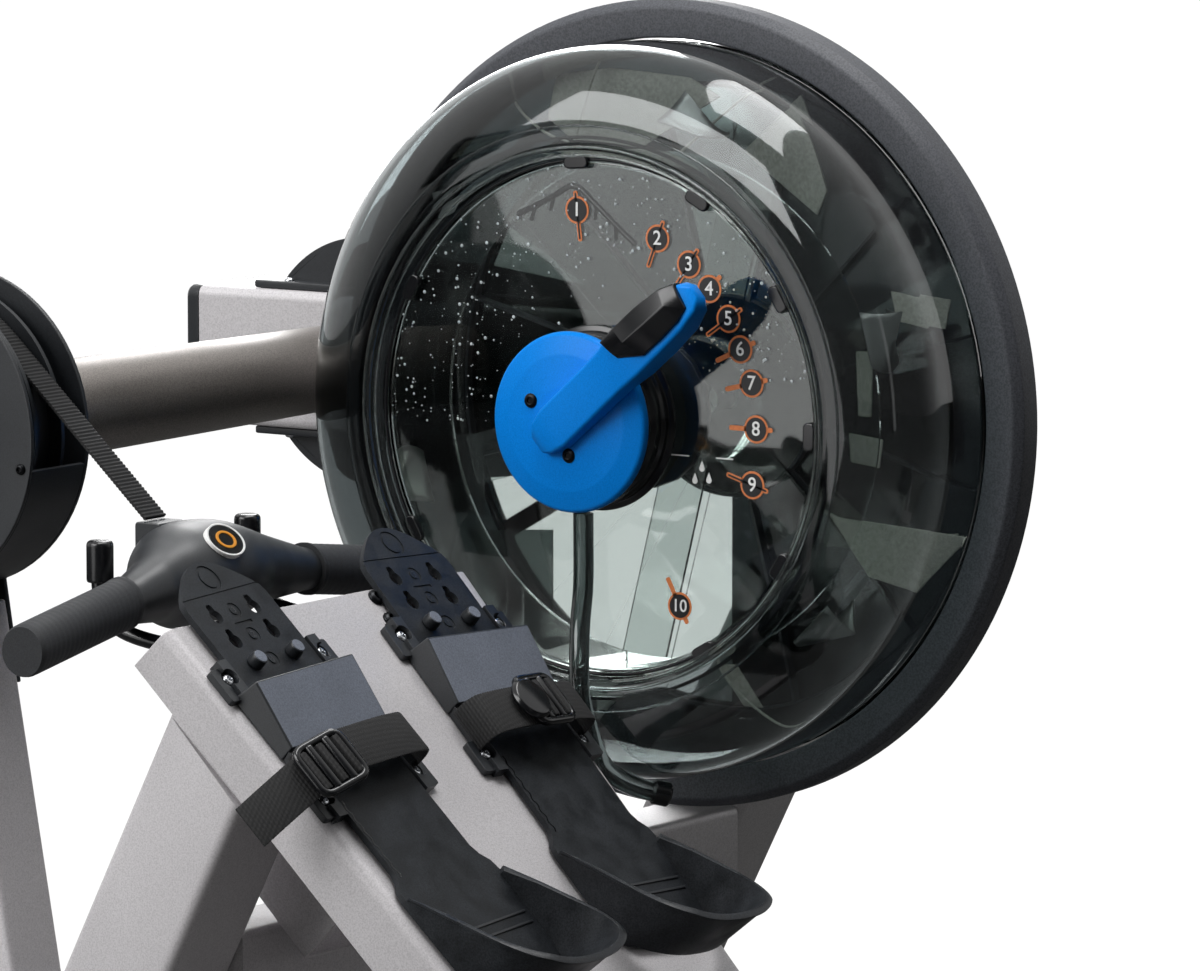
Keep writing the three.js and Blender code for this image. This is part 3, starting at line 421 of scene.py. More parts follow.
# Mesh tools. A shape is a pair of lists, corners and faces.
def fillet(points, radius, steps=5, closedPath=True):
    # Rounds the corners of a flat outline. radius is one number or one for each point.
    count = len(points)
    out = []
    for i, point in enumerate(points):
        r = radius[i] if isinstance(radius, (list, tuple)) else radius
        if r <= 0 or (not closedPath and i in (0, count - 1)):
            out.append(tuple(point))
            continue
        here = Vector(point)
        before = Vector(points[i - 1]) - here
        after = Vector(points[(i + 1) % count]) - here
        half = before.angle(after, math.pi) / 2
        if half > math.radians(88):
            out.append(tuple(point))
            continue
        reach = min(r / math.tan(half), before.length * 0.49, after.length * 0.49)
        start = here + before.normalized() * reach
        end = here + after.normalized() * reach
        for s in range(steps + 1):
            t = s / steps
            out.append(tuple(start * (1 - t) ** 2 + here * 2 * t * (1 - t) + end * t ** 2))
    return out


def rectangle(x0, x1, y0, y1):
    return [(x0, y0), (x1, y0), (x1, y1), (x0, y1)]


def roundedBox(width, height, radius, steps=5):
    w, h = width / 2, height / 2
    return fillet([(w, -h), (w, h), (-w, h), (-w, -h)], radius, steps)


def circle(radius, sides=24):
    turns = [2 * math.pi * i / sides for i in range(sides)]
    return [(radius * math.cos(a), radius * math.sin(a)) for a in turns]


def arcPoints(radius, start, end, count, centre=(0, 0)):
    turns = [math.radians(start + (end - start) * i / count) for i in range(count + 1)]
    return [(centre[0] + radius * math.cos(a), centre[1] + radius * math.sin(a)) for a in turns]


def bezier(corners, count):
    points = []
    for i in range(count + 1):
        t = i / count
        share = ((1 - t) ** 3, 3 * t * (1 - t) ** 2, 3 * t * t * (1 - t), t ** 3)
        points.append(tuple(sum(w * p[k] for w, p in zip(share, corners)) for k in (0, 1)))
    return points


def mirrored(points):  # the other half of an outline that is symmetric about x = 0
    return [(-x, y) for x, y in reversed(points)]


def prism(outline, low, high, plane="xy"):
    first, second, third = {"xy": (0, 1, 2), "xz": (0, 2, 1), "yz": (1, 2, 0)}[plane]
    verts = []
    for level in (low, high):
        for a, b in outline:
            point = [0, 0, 0]
            point[first], point[second], point[third] = a, b, level
            verts.append(point)
    n = len(outline)
    sides = [[i, (i + 1) % n, n + (i + 1) % n, n + i] for i in range(n)]
    return verts, [list(range(n))[::-1], list(range(n, 2 * n))] + sides


def boxShape(x0, x1, y0, y1, z0, z1):
    return prism(rectangle(x0, x1, y0, y1), z0, z1)


def loft(rings, closed=False):
    n = len(rings[0])
    verts = [tuple(p) for ring in rings for p in ring]
    faces = []
    for j in range(len(rings) if closed else len(rings) - 1):
        a, b = j * n, ((j + 1) % len(rings)) * n
        faces += [[a + i, a + (i + 1) % n, b + (i + 1) % n, b + i] for i in range(n)]
    if not closed:
        faces += [list(range(n))[::-1], list(range(len(verts) - n, len(verts)))]
    return verts, faces


def lathe(profile, segments=96, axis="X"):
    # profile is (radius, distance along the axis); one that stays off the axis makes a ring.
    verts = []
    for s in range(segments):
        turn = 2 * math.pi * s / segments
        for radius, along in profile:
            a, b = radius * math.cos(turn), radius * math.sin(turn)
            verts.append({"X": (along, a, b), "Y": (b, along, a), "Z": (a, b, along)}[axis])
    onAxis = [radius < 0.01 for radius, along in profile]
    n = len(profile)
    faces = []
    for s in range(segments):
        a, b = s * n, ((s + 1) % segments) * n
        for i in range(n - 1 if onAxis[0] or onAxis[-1] else n):
            j = (i + 1) % n
            if onAxis[i]:
                faces.append([a + i, a + j, b + j])
            elif onAxis[j]:
                faces.append([a + i, a + j, b + i])
            else:
                faces.append([a + i, a + j, b + j, b + i])
    return verts, faces


def rod(radius, low, high, segments, axis="X", rounded=(0, 0), steps=3):
    # A round bar on the axis; rounded gives the radius of its low and of its high edge.
    outline = [(0, low), (radius, low), (radius, high), (0, high)]
    return lathe(fillet(outline, [0, *rounded, 0], steps, False), segments, axis)


def smoothPath(points, steps=8):
    dots = [Vector(p) for p in points]
    dots = [dots[0] * 2 - dots[1]] + dots + [dots[-1] * 2 - dots[-2]]
    out = []
    for i in range(1, len(dots) - 2):
        p0, p1, p2, p3 = dots[i - 1:i + 3]
        for s in range(steps):
            t = s / steps
            out.append(0.5 * ((2 * p1) + (p2 - p0) * t + (2 * p0 - 5 * p1 + 4 * p2 - p3) * t * t
                              + (3 * p1 - p0 - 3 * p2 + p3) * t ** 3))
    out.append(dots[-2])
    return out


def sweep(path, section, up):
    # Carries a flat section along a path; the section's second direction stays near `up`.
    rings = []
    for i, point in enumerate(path):
        along = (Vector(path[min(i + 1, len(path) - 1)]) - Vector(path[max(i - 1, 0)])).normalized()
        side = along.cross(Vector(up)).normalized()
        top = side.cross(along)
        rings.append([Vector(point) + side * a + top * b for a, b in section])
    return loft(rings)


def hoop(path, section):  # carries a section once round a closed level path
    rings = []
    for i, point in enumerate(path):
        along = (path[(i + 1) % len(path)] - path[i - 1]).normalized()
        outward = along.cross(Vector((0, 0, 1)))
        rings.append([point + outward * a + Vector((0, 0, b)) for a, b in section])
    return loft(rings, closed=True)


def moved(shape, matrix):
    verts, faces = shape
    return [tuple(matrix @ Vector(v)) for v in verts], faces


def meshShape(mesh, matrix=Matrix()):
    return [tuple(matrix @ v.co) for v in mesh.vertices], [list(p.vertices) for p in mesh.polygons]


def boltHead(centre, normal, radius, height):  # a button head with a round socket
    dome = [(0, 0), (radius, 0), (radius, height * 0.35), (radius * 0.86, height * 0.75),
            (radius * 0.55, height), (radius * 0.5, height)]
    socket = [(radius * 0.46, height * 0.93), (radius * 0.44, height * 0.35), (0, height * 0.3)]
    turn = Vector((1, 0, 0)).rotation_difference(Vector(normal)).to_matrix().to_4x4()
    return moved(lathe(dome + socket, 20), shift(*centre) @ turn)


def ribbon(path, low, high, thick, pitch, drift=0):
    # Webbing along a path of (x, z) points, from y = low to y = high: its ribs run straight across it.
    step, ribHeight, edgeRound = 0.62, 0.42, 0.35
    smooth = smoothPath([Vector((x, 0, z)) for x, z in path], 10)
    length, marks = 0, [0]
    for a, b in zip(smooth, smooth[1:]):
        length += (b - a).length
        marks.append(length)
    count = int(length / step)
    even = []
    j = 0
    for i in range(count + 1):
        s = length * i / count
        while j < len(marks) - 2 and marks[j + 1] < s:
            j += 1
        t = (s - marks[j]) / max(marks[j + 1] - marks[j], 1e-6)
        even.append((smooth[j].lerp(smooth[j + 1], min(t, 1)), s))
    rings = []
    across = [0, 0.04, 0.5, 0.96, 1]
    for i, (point, s) in enumerate(even):
        ahead = even[min(i + 1, count)][0] - even[max(i - 1, 0)][0]
        normal = Vector((-ahead.z, 0, ahead.x)).normalized()
        rib = ribHeight * math.sin(2 * math.pi * s / pitch)
        y0, y1 = low + drift * s / length, high + drift * s / length
        ring = []
        for u in across:
            lift = thick / 2 + rib - (edgeRound if u in (0, 1) else 0)
            ring.append(point + normal * lift + Vector((0, y0 + (y1 - y0) * u, 0)))
        for u in reversed(across):
            lift = thick / 2 + rib * 0.6 - (edgeRound if u in (0, 1) else 0)
            ring.append(point - normal * lift + Vector((0, y0 + (y1 - y0) * u, 0)))
        rings.append(ring)
    return loft(rings)


def newObject(name, shapes):
    bm = bmesh.new()
    for verts, faces in shapes:
        made = [bm.verts.new(Vector(v)) for v in verts]
        for face in faces:
            bm.faces.new([made[i] for i in face])
    bmesh.ops.remove_doubles(bm, verts=bm.verts, dist=0.0005)
    bmesh.ops.recalc_face_normals(bm, faces=bm.faces)
    mesh = bpy.data.meshes.new(name)
    bm.to_mesh(mesh)
    bm.free()
    piece = bpy.data.objects.new(name, mesh)
    bpy.context.scene.collection.objects.link(piece)
    return piece


def evaluatedMesh(thing):
    bpy.context.view_layer.update()
    return bpy.data.meshes.new_from_object(thing.evaluated_get(bpy.context.evaluated_depsgraph_get()))


def applyModifier(piece, kind, **settings):
    modifier = piece.modifiers.new(kind.lower(), kind)
    for key, value in settings.items():
        setattr(modifier, key, value)
    old = piece.data
    piece.data = evaluatedMesh(piece)
    piece.modifiers.clear()
    bpy.data.meshes.remove(old)


def dropSpecks(mesh):  # a cut or a narrow edge rounding can leave faces of no size
    bm = bmesh.new()
    bm.from_mesh(mesh)
    bmesh.ops.remove_doubles(bm, verts=bm.verts, dist=0.0005)
    bm.to_mesh(mesh)
    bm.free()


def digitShape(text, height, matrix, depth):
    # Numbers as solid shapes, standing on the XY plane of `matrix`.
    curve = bpy.data.curves.new("digit", "FONT")
    curve.body = text
    curve.size = height * 1.4  # the capital height is about 0.7 of the type size
    curve.align_x = "CENTER"
    curve.align_y = "CENTER"
    curve.extrude = depth / 2
    curve.resolution_u = 4
    curve.offset = height * 0.012  # a slightly bolder stroke
    letter = bpy.data.objects.new("digit", curve)
    bpy.context.scene.collection.objects.link(letter)
    mesh = evaluatedMesh(letter)
    shape = meshShape(mesh, matrix)
    bpy.data.objects.remove(letter)
    bpy.data.meshes.remove(mesh)
    return shape


replacedNodes = set()


def makePiece(name, shapes, finish, body="frame", at=Matrix(), bevel=0, bevelSteps=2, cuts=(), sharp=38,
              subdivide=0, replaces=None):
    # Joins shapes into one mesh, cuts holes, rounds edges and gives it its finish and its body.
    piece = newObject(name, shapes)
    for cutter in cuts:
        tool = newObject("cutter", [cutter])
        applyModifier(piece, "BOOLEAN", operation="DIFFERENCE", solver="EXACT", object=tool)
        bpy.data.objects.remove(tool)
    if bevel:
        applyModifier(piece, "BEVEL", width=bevel, segments=bevelSteps, limit_method="ANGLE",
                      angle_limit=math.radians(32))
    dropSpecks(piece.data)
    if subdivide:
        applyModifier(piece, "SUBSURF", levels=subdivide, render_levels=subdivide)
    piece.data.transform(Matrix.Scale(millimetre, 4) @ at)
    for polygon in piece.data.polygons:
        polygon.use_smooth = True
    piece.data.set_sharp_from_angle(angle=math.radians(sharp))
    if bevel:
        applyModifier(piece, "WEIGHTED_NORMAL", keep_sharp=True)
    piece.data.materials.clear()
    piece.data.materials.append(finishes[finish])
    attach(piece, body)
    if replaces:
        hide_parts(replaces)
        replacedNodes.add(replaces)
    return piece


# Frame tubes and footboard.
board = {
    "halfWidth": 171.5,  # half its width at the toes' height
    "taper": 0.0843,  # how much wider it gets on each side for every millimetre upwards
    "sheet": 4,
    "top": 100,
    "bottom": -345,
    "flange": 38,
    "deepen": 0.03,
    "bend": 9,
    "gap": 0.4,  # left between the sheet and what carries it
}
leg = {"size": 80, "cornerRadius": 9, "lean": 26.7, "through": (611, 428), "reach": 420, "foot": 80.5,
       "tankTop": 685.6}
crossTube = {"size": 60, "cornerRadius": 7, "at": (604, 392)}
arm = {"size": 108, "wall": 4, "from": 418, "to": 1060.6, "cornerRadius": 8, "boreRadius": 5,
       "slotHalf": 19, "slotFrom": 656, "slotTo": 1002}  # the slot lets the drive belt in
spine = {"width": 120, "height": 150, "wall": 3, "from": -90, "to": 50, "cornerRadius": 7}
boardUnder = -board["sheet"] - board["gap"]


def boardTaper(shape):  # the board is wider at its top, and its flanges are deeper at the bottom
    verts, faces = shape
    out = []
    for x, y, z in verts:
        deeper = board["deepen"] * max(board["top"] - y, 0) if z < -20 else 0
        out.append((x + (1 if x > 0 else -1) * board["taper"] * y, y, z - deeper))
    return out, faces


def cutAway(piece, point, normal):  # trims a mesh on the side that normal points to, and closes the cut
    bm = bmesh.new()
    bm.from_mesh(piece.data)
    everything = bm.verts[:] + bm.edges[:] + bm.faces[:]
    result = bmesh.ops.bisect_plane(bm, geom=everything, plane_co=point, plane_no=normal, clear_outer=True)
    edges = [e for e in result["geom_cut"] if isinstance(e, bmesh.types.BMEdge)]
    bmesh.ops.holes_fill(bm, edges=edges)
    bmesh.ops.recalc_face_normals(bm, faces=bm.faces)
    bm.to_mesh(piece.data)
    bm.free()


def makeLeg(name, x, topPoint, topNormal, node, cuts=()):
    place = shift(x, *leg["through"]) @ turned(leg["lean"], "X")
    section = roundedBox(leg["size"], leg["size"], leg["cornerRadius"])
    solid = newObject(name, [moved(prism(section, -leg["reach"], leg["reach"]), place)])
    cutAway(solid, (0, 0, leg["foot"]), (0, 0, -1))
    cutAway(solid, topPoint, topNormal)
    shape = meshShape(solid.data)
    bpy.data.objects.remove(solid)
    makePiece(name, [shape], "powderCoatedSteel", replaces=node, cuts=cuts)


def makeFrameTubes():
    left, right = layout["legs"]
    inside = -board["halfWidth"] + board["sheet"] + board["gap"]
    low = -board["flange"] - board["gap"]
    bend = 8
    room = [(-400, 10), (-400, low), (inside, low), (inside, boardUnder - bend), (inside + bend, boardUnder),
            (inside + bend, 10)]
    flangeRoom = moved(boardTaper(prism(room, -300, 300, "xz")), boardAt)
    makeLeg("leftLegTube", left, boardAt @ Vector((0, 0, boardUnder)), boardAt.to_3x3() @ Vector((0, 0, 1)),
            "left_leg", cuts=[flangeRoom])
    makeLeg("tankLegTube", right, (0, 0, leg["tankTop"]), (0, 0, 1), "tank_leg")
    reach = leg["size"] / 2 + board["gap"]
    tube = prism(roundedBox(crossTube["size"], crossTube["size"], crossTube["cornerRadius"]), left + reach,
                 right - reach, "yz")
    makePiece("crossTubeSteel", [moved(tube, shift(0, *crossTube["at"]))], "powderCoatedSteel",
              replaces="cross_tube")
    x, z = layout["arm"]
    size, bore = arm["size"], arm["size"] - 2 * arm["wall"]
    outer = prism(roundedBox(size, size, arm["cornerRadius"]), arm["from"], arm["to"], "xz")
    inner = prism(roundedBox(bore, bore, arm["boreRadius"]), arm["from"] - 8, arm["to"] + 9.4, "xz")
    slot = boxShape(x - arm["slotHalf"], x + arm["slotHalf"], arm["slotFrom"], arm["slotTo"], z - 80, z + 80)
    makePiece("armTubeSteel", [moved(outer, shift(x, 0, z))], "powderCoatedSteel",
              cuts=[moved(inner, shift(x, 0, z)), slot], bevel=0.6, bevelSteps=1, replaces="tank_arm")


def makeFootboard():
    w, t, f, bend = board["halfWidth"], board["sheet"], board["flange"], board["bend"]
    outer = fillet([(-w, -f), (-w, 0), (w, 0), (w, -f)], bend, 8, closedPath=False)
    inner = fillet([(w - t, -f), (w - t, -t), (-w + t, -t), (-w + t, -f)], bend - t, 8, closedPath=False)
    sheet = boardTaper(prism(outer + inner, board["bottom"], board["top"], "xz"))
    makePiece("footboardSheet", [sheet], "powderCoatedSteel", at=boardAt, bevel=0.7, sharp=50,
              replaces="footboard")
    width, height, wall, corner = spine["width"], spine["height"], spine["wall"], spine["cornerRadius"]
    low = shift(0, 0, boardUnder - height / 2)
    outside = roundedBox(width, height, corner)
    inside = roundedBox(width - 2 * wall, height - 2 * wall, corner - wall)
    beam = prism(outside, spine["from"], spine["to"], "xz")
    bore = prism(inside, spine["from"] - 5, spine["to"] + 5, "xz")
    makePiece("spineBeamSteel", [moved(beam, low)], "powderCoatedSteel", at=spineAt, cuts=[moved(bore, low)],
              replaces="spine_beam")
    screws = [boltHead((x, y, 0), (0, 0, 1), 6.2, 3.6) for x, y in ((58, 92), (56, 72))]
    makePiece("boardTopScrews", screws, "blackOxideScrew", at=boardAt)


makeFrameTubes()
makeFootboard()
print("frame and board built")


# Footplates: x is across the foot, y runs towards the toes and z stands up from the board.
plate = {
    "halfWidth": 50,
    "ends": (-70, 66),
    "under": 0.3,
    "railIn": 49.4,
    "railOut": 60,
    "railTop": 8.6,
    "boltX": 57,
    "boltY": (52, -55),
    "lugOut": 70,
    "lugs": ((34, 62), (-70, -43)),
    "bridgeHalf": (62, 59.5),  # at its foot and at its top
    "bridgeTop": (22.8, 12.2),  # at its toe end and at its heel end
    "bridgeEnds": (36, -15),
    "bridgeNormal": (0, -0.208, 0.978),
    "pegX": 23,
    "pegY": 57,
    "pitch": 22,
}


def makeFootplate(side, label):
    at = shoeAt(side)
    under = plate["under"]
    low, high = plate["ends"]
    spots = [(s * plate["boltX"], y) for s in (-1, 1) for y in plate["boltY"]]
    pocket = lathe([(0, 3), (6.2, 3), (6.6, 12), (0, 12)], 24, "Z")
    pockets = [moved(pocket, shift(x, y, 0)) for x, y in spots]
    tray = [boxShape(-plate["halfWidth"], plate["halfWidth"], low, high, under, 2)]
    lugs = []
    for s in (-1, 1):
        x0, x1 = sorted((s * plate["railIn"], s * plate["railOut"]))
        tray.append(boxShape(x0, x1, low - 2, high, under, plate["railTop"]))
        for y0, y1 in plate["lugs"]:
            edge = fillet(rectangle(s * 52, s * plate["lugOut"], y0, y1), [1, 2.5, 2.5, 1], 2)
            lugs.append(prism(edge, under, 5.4))
    bolts = [boltHead((x, y, 3), (0, 0, 1), 4.8, 3.4) for x, y in spots]
    makePiece(f"footplateTray_{label}", tray, "grainedBlackAbs", at=at, bevel=1.1, cuts=pockets,
              replaces=f"footplate_{label}")
    makePiece(f"footplateLugs_{label}", lugs, "grainedBlackAbs", at=at, cuts=pockets, bevel=1.2, bevelSteps=1)
    makePiece(f"footplateBolts_{label}", bolts, "zincPlatedScrew", at=at)


def makeToeBridge(side, label):
    # A sloping top on flared sides, hollow underneath, with the two pegs beyond it.
    at = shoeAt(side)
    foot, crown = plate["bridgeHalf"]
    top, low = plate["bridgeTop"]
    front, rear = plate["bridgeEnds"]
    base = [(x, y, 0.6) for x, y in rectangle(-foot, foot, front + 3, rear - 1)]
    crownRing = [(-crown, front, top), (crown, front, top), (crown, rear, low), (-crown, rear, low)]
    hollow = prism([(60, 0), (60, top - 3.4), (front + 1, top - 3.4), (rear - 1, low - 3), (-60, low - 3),
                    (-60, 0)], -49.6, 49.6, "yz")
    bridge = makePiece(f"toeBridge_{label}", [loft([base, crownRing])], "grainedBlackAbs", at=at,
                       cuts=[hollow], bevel=1.3, bevelSteps=3)
    # The faces that look straight up get the paler grey: painted light on the top.
    bridge.data.materials.append(finishes["litTopPaintedGrey"])
    upward = (at.to_3x3() @ Vector(plate["bridgeNormal"])).normalized()
    for polygon in bridge.data.polygons:
        if polygon.normal.dot(upward) > 0.97:
            polygon.material_index = 1
    body = fillet([(2.6, 1), (2.6, 7.9), (6.4, 7.9), (5.8, 14.4), (5.5, 15.2)], 0.6, 2, closedPath=False)
    peg = lathe([(0, 1)] + body + [(0, 15.2)], 28, "Z")
    face = lathe([(0, 14.8), (5.1, 15.1), (4.9, 15.8), (0, 16)], 28, "Z")
    # The pegs' end faces take the same paler grey: painted light.
    for name, shape, finish in (("pegs", peg, "grainedBlackAbs"), ("pegFaces", face, "litTopPaintedGrey")):
        pair = [moved(shape, shift(x, plate["pegY"], 0)) for x in (-plate["pegX"], plate["pegX"])]
        makePiece(f"{name}_{label}", pair, finish, at=at)


# Heel holders: a flat pad with two columns of peg holes, and a cup round the heel.
holder = {"half": 48, "low": 2.4, "high": 7, "tipRadius": 36, "tip": 108, "cupWall": 3.6, "holes": 2}
cup = {"half": 59, "start": -146, "far": -249, "lip": 2.4, "flareX": 0.0011, "flareY": 0.1}


def stepped(value, steps):  # straight lines between (place, height) pairs, places falling
    for (a, low), (b, high) in zip(steps, steps[1:]):
        if value >= b:
            return low + (high - low) * max(0, a - value) / (a - b)
    return steps[-1][1]


def rimHeight(y):  # top edge of the heel cup for a place along the foot
    return stepped(y, [(-140, 8), (-238, 62), (-252, 65), (-275, 63)])


def cupFoot(y):  # lower edge of the cup's wall: it clears the board behind the base plate
    return stepped(y, [(-226, holder["low"]), (-232, 9), (-244, 15), (-275, 24)])


def cupPath(inset):
    half, far = cup["half"] - inset, cup["far"] + inset
    side = [(-half, cup["start"] - inset), (-half + 0.5, -173), (-half + 1, -200)]
    side += bezier([(-half + 1, -200), (-half + 2, far + 12), (-half + 20, far), (0, far)], 20)[1:]
    return side + mirrored(side[:-1])


def cupPoint(x, y, z):  # the walls lean outwards as they rise
    rise = max(z - holder["high"], 0)
    return (x * (1 + cup["flareX"] * rise), y - cup["flareY"] * rise * max((-150 - y) / 100, 0), z)


def makeHolderPad(side, label):
    w, low, high, tip, r = (holder[key] for key in ("half", "low", "high", "tip", "tipRadius"))
    flare = [(w, -122), (w + 3, -130), (w + 9, -137), (59, -145), (59, -152)]
    heel = [(57.8, -200), (54, -216), (40, -228)]
    outline = [(-w, -90), (-w, tip)]
    for i in range(1, 16):
        a = math.pi - math.pi * i / 16
        outline.append((r * math.cos(a) * (1 + 0.35 * abs(math.cos(a)) ** 6), tip + r * math.sin(a)))
    outline += [(w, tip), (w, -90)] + flare + heel + [(0, -231)] + mirrored(heel) + mirrored(flare)
    cuts = []
    for s in (-1, 1):
        x = s * plate["pegX"]
        for step in range(1, holder["holes"] + 1):  # a keyhole: the peg's head goes in, its neck slides along
            y = plate["pegY"] + plate["pitch"] * step
            cuts.append(moved(rod(6, 0, 20, 20, "Z"), shift(x, y - 1.5, 0)))
            neck = [(-3.2, 0), (3.2, 0), (3.2, 7), (1.8, 9), (-1.8, 9), (-3.2, 7)]
            cuts.append(moved(prism(neck, 0, 20), shift(x, y, 0)))
        cuts.append(moved(rod(3.2, 0, 20, 16, "Z"), shift(x, plate["pegY"], 0)))
    # Shallow marks: the round at the tip, three size rounds, a bar and the step across the top.
    for y, radius, depth in ((130, 9.5, 0.8), (101, 5, 0.7), (79, 5, 0.7), (57, 5, 0.7)):
        a, b, floor = radius - 1.2, radius + 1.2, high - depth
        ring = [(a, floor), (a, 20), (b, 20), (b, floor)]
        cuts.append(moved(lathe(ring, 28, "Z"), shift(0, y, 0)))
    cuts.append(boxShape(-10, 10, 88.5, 91, high - 0.8, 20))
    cuts.append(boxShape(-46, 46, 116.4, 117.6, high - 0.6, 20))
    makePiece(f"holderPad_{label}", [prism(outline, low, high)], "scuffedBlackAbs", f"{label}_heel",
              at=shoeAt(side), cuts=cuts, bevel=0.7, replaces=f"heel_slider_{label}")


def makeHeelCup(side, label):
    at, body, high = shoeAt(side), f"{label}_heel", holder["high"]
    lip = cup["lip"]
    outer, inner = cupPath(0), cupPath(holder["cupWall"])
    sections = []
    for (xo, yo), (xi, yi) in zip(outer, inner):
        top = rimHeight(yo)
        foot = min(cupFoot(cupPoint(xo, yo, 20)[1]), top - lip - 1)
        xl, yl, zl = cupPoint(xo, yo, top - lip)
        out = Vector((xl, yl + 190, 0)).normalized() * (1.5 if top > 20 else 0.6)
        sections.append([cupPoint(xo, yo, foot), cupPoint(xo, yo, (foot + top) / 2), (xl, yl, zl - 0.6),
                         (xl + out.x, yl + out.y, zl), (xl + out.x, yl + out.y, top - 0.7),
                         cupPoint((xo + xi) / 2, (yo + yi) / 2, top), cupPoint(xi, yi, top - 0.7),
                         cupPoint(xi, yi, max(foot, high - 1))])
    makePiece(f"heelCup_{label}", [loft(sections)], "scuffedBlackAbs", body, at=at, sharp=40)
    ribs = [boxShape(-50, 50, y - 1, y + 1, high - 0.5, high + 1.1) for y in (-181, -190)]
    makePiece(f"heelCupRibs_{label}", ribs, "grainedBlackAbs", body, at=at, bevel=0.5)


def makeHolderMarks(side, label):  # the wavy line along one edge, and the sizes 1 to 3
    at, body, high = shoeAt(side), f"{label}_heel", holder["high"]
    wave = [(-holder["half"] + 3.2 + 0.9 * math.sin(i * 0.7), -60 - 1.15 * i) for i in range(60)]
    trench = [(x - 0.7, y) for x, y in wave] + [(x + 0.7, y) for x, y in reversed(wave)]
    line = prism(trench, high - 0.4, high + 0.15)
    makePiece(f"holderWave_{label}", [line], "polishedBlackAbs", body, at=at)
    numbers = [digitShape(text, 5.2, shift(0, y, high - 0.1), 0.5)
               for text, y in (("3", 101), ("2", 79), ("1", 57))]
    makePiece(f"holderNumbers_{label}", numbers, "grainedBlackAbs", body, at=at)


# Toe straps and their ladder buckles.
strap = {"low": -52, "high": -18.5, "thick": 1.9, "ribPitch": 2.5}
buckle = {"size": 38, "cornerRadius": 8, "wire": 3.0, "bar": 3.2, "bars": (-7, 7.5), "lift": 3.4,
          "wrapHalf": 15.5, "wrapThick": 1.8}


def makeStrap(side, label):
    low, high, thick = strap["low"], strap["high"], strap["thick"]
    rise = [(-61.8, 5.8), (-61.5, 16), (-56, 23.5), (-44, 26.3), (-20, 28)]
    bands = [ribbon(rise + mirrored(rise), low, high, thick, strap["ribPitch"])]
    if side < 0:  # the loose end of the left strap hangs over the board's edge
        tail = [(-36, 30.4), (-50, 29.4), (-66, 25), (-82, 13), (-102, -3), (-117, -16.5)]
        bands.append(ribbon(tail, low + 0.5, high - 0.5, thick, strap["ribPitch"], drift=-13))
    makePiece(f"toeStrap_{label}", bands, "wovenPolyester", at=shoeAt(side), sharp=70,
              replaces=f"strap_{label}")


def makeBuckle(side, label):
    place = shift(-62, -43, 28.2) @ turned(-25, "Y") if side < 0 else shift(2, -35, 29.4)
    at = shoeAt(side) @ place @ shift(0, 0, buckle["lift"])
    outline = roundedBox(buckle["size"], buckle["size"], buckle["cornerRadius"], 6)
    section = [(a, b * 1.1) for a, b in circle(buckle["wire"], 14)]
    shapes = [hoop([Vector((x, y, 0)) for x, y in outline], section)]
    r = buckle["bar"]
    flatBar = moved(rod(r, -18, 18, 20, "Y", (r / 2, r / 2)), Matrix.Diagonal((1, 1, 0.9, 1)))
    shapes += [moved(flatBar, shift(x, 0, 1)) for x in buckle["bars"]]
    makePiece(f"ladderBuckle_{label}", shapes, "polishedBlackAbs", at=at, replaces=f"buckle_{label}")
    wraps = []
    for x0, x1 in ((-18.5, -10.5), (-4, 4.4), (11, 18.5)):
        middle = (x0 + x1) / 2
        path = [(x0, -3), (middle - 2, 1.5), (middle + 2, 1.6), (x1, -2.6)]
        half = buckle["wrapHalf"]
        wraps.append(ribbon(path, -half, half, buckle["wrapThick"], strap["ribPitch"]))
    makePiece(f"buckleWebbing_{label}", wraps, "wovenPolyester", at=at, sharp=70)
    if side > 0:
        disc = fillet([(0, 2), (17, 2), (17.5, 4), (15, 7), (0, 8)], 2, 4, closedPath=False)
        place = shift(-17, 0, -1) @ turned(-8, "Y") @ Matrix.Diagonal((0.85, 1, 1, 1))
        makePiece("buckleTab_right", [moved(lathe(disc, 40, "Z"), place)], "polishedBlackAbs", at=at)


for side, label in ((-1, "left"), (1, "right")):
    makeFootplate(side, label)
    makeToeBridge(side, label)
    makeHolderPad(side, label)
    makeHeelCup(side, label)
    makeHolderMarks(side, label)
    makeStrap(side, label)
    makeBuckle(side, label)
print("footplates, heel holders and straps built")


# Tank: x runs along its axis, away from the rower's right hand side, and 0 is the clamp ring's joint.
tank = {
    "ringOut": 300,
    "ringIn": 271.4,
    "roundCentre": (201, -69.5),  # the front shell is one big round from its rim to the dial
    "roundAcross": 69.5,
    "roundAlong": 52,
    "wall": 3.5,
    "rearIn": 72,  # the rear wall's panels lie between these radii
    "rearOut": 238,
    "drumRadius": 189.5,
    "pipeRadius": 7.5,
}
# Sectors of the rear wall, 15 degrees each, counted from straight up towards the rower. Each sector's tint is
# painted shade: near black where the tank's inside reads darkest, mid-dark where it reads lighter, clear
# where it reads pale.
rearPanels = {
    "shadePaintedPolycarbonate": [1, 2, 3, 5, 6, 7, 8, 9, 10, 11, 20, 21, 22],
    "halfShadePaintedPolycarbonate": [0, 4, 17, 18, 19, 23],
    "clearPolycarbonate": [12, 13, 14, 15, 16],
}
# Clips round the dial: degrees from straight up, and distance from the centre.
rimClips = [(28.2, 185), (58.6, 183), (90.7, 183), (121.6, 186), (150.2, 189), (-5.2, 187), (-62, 185),
            (-120, 186), (-150, 188)]
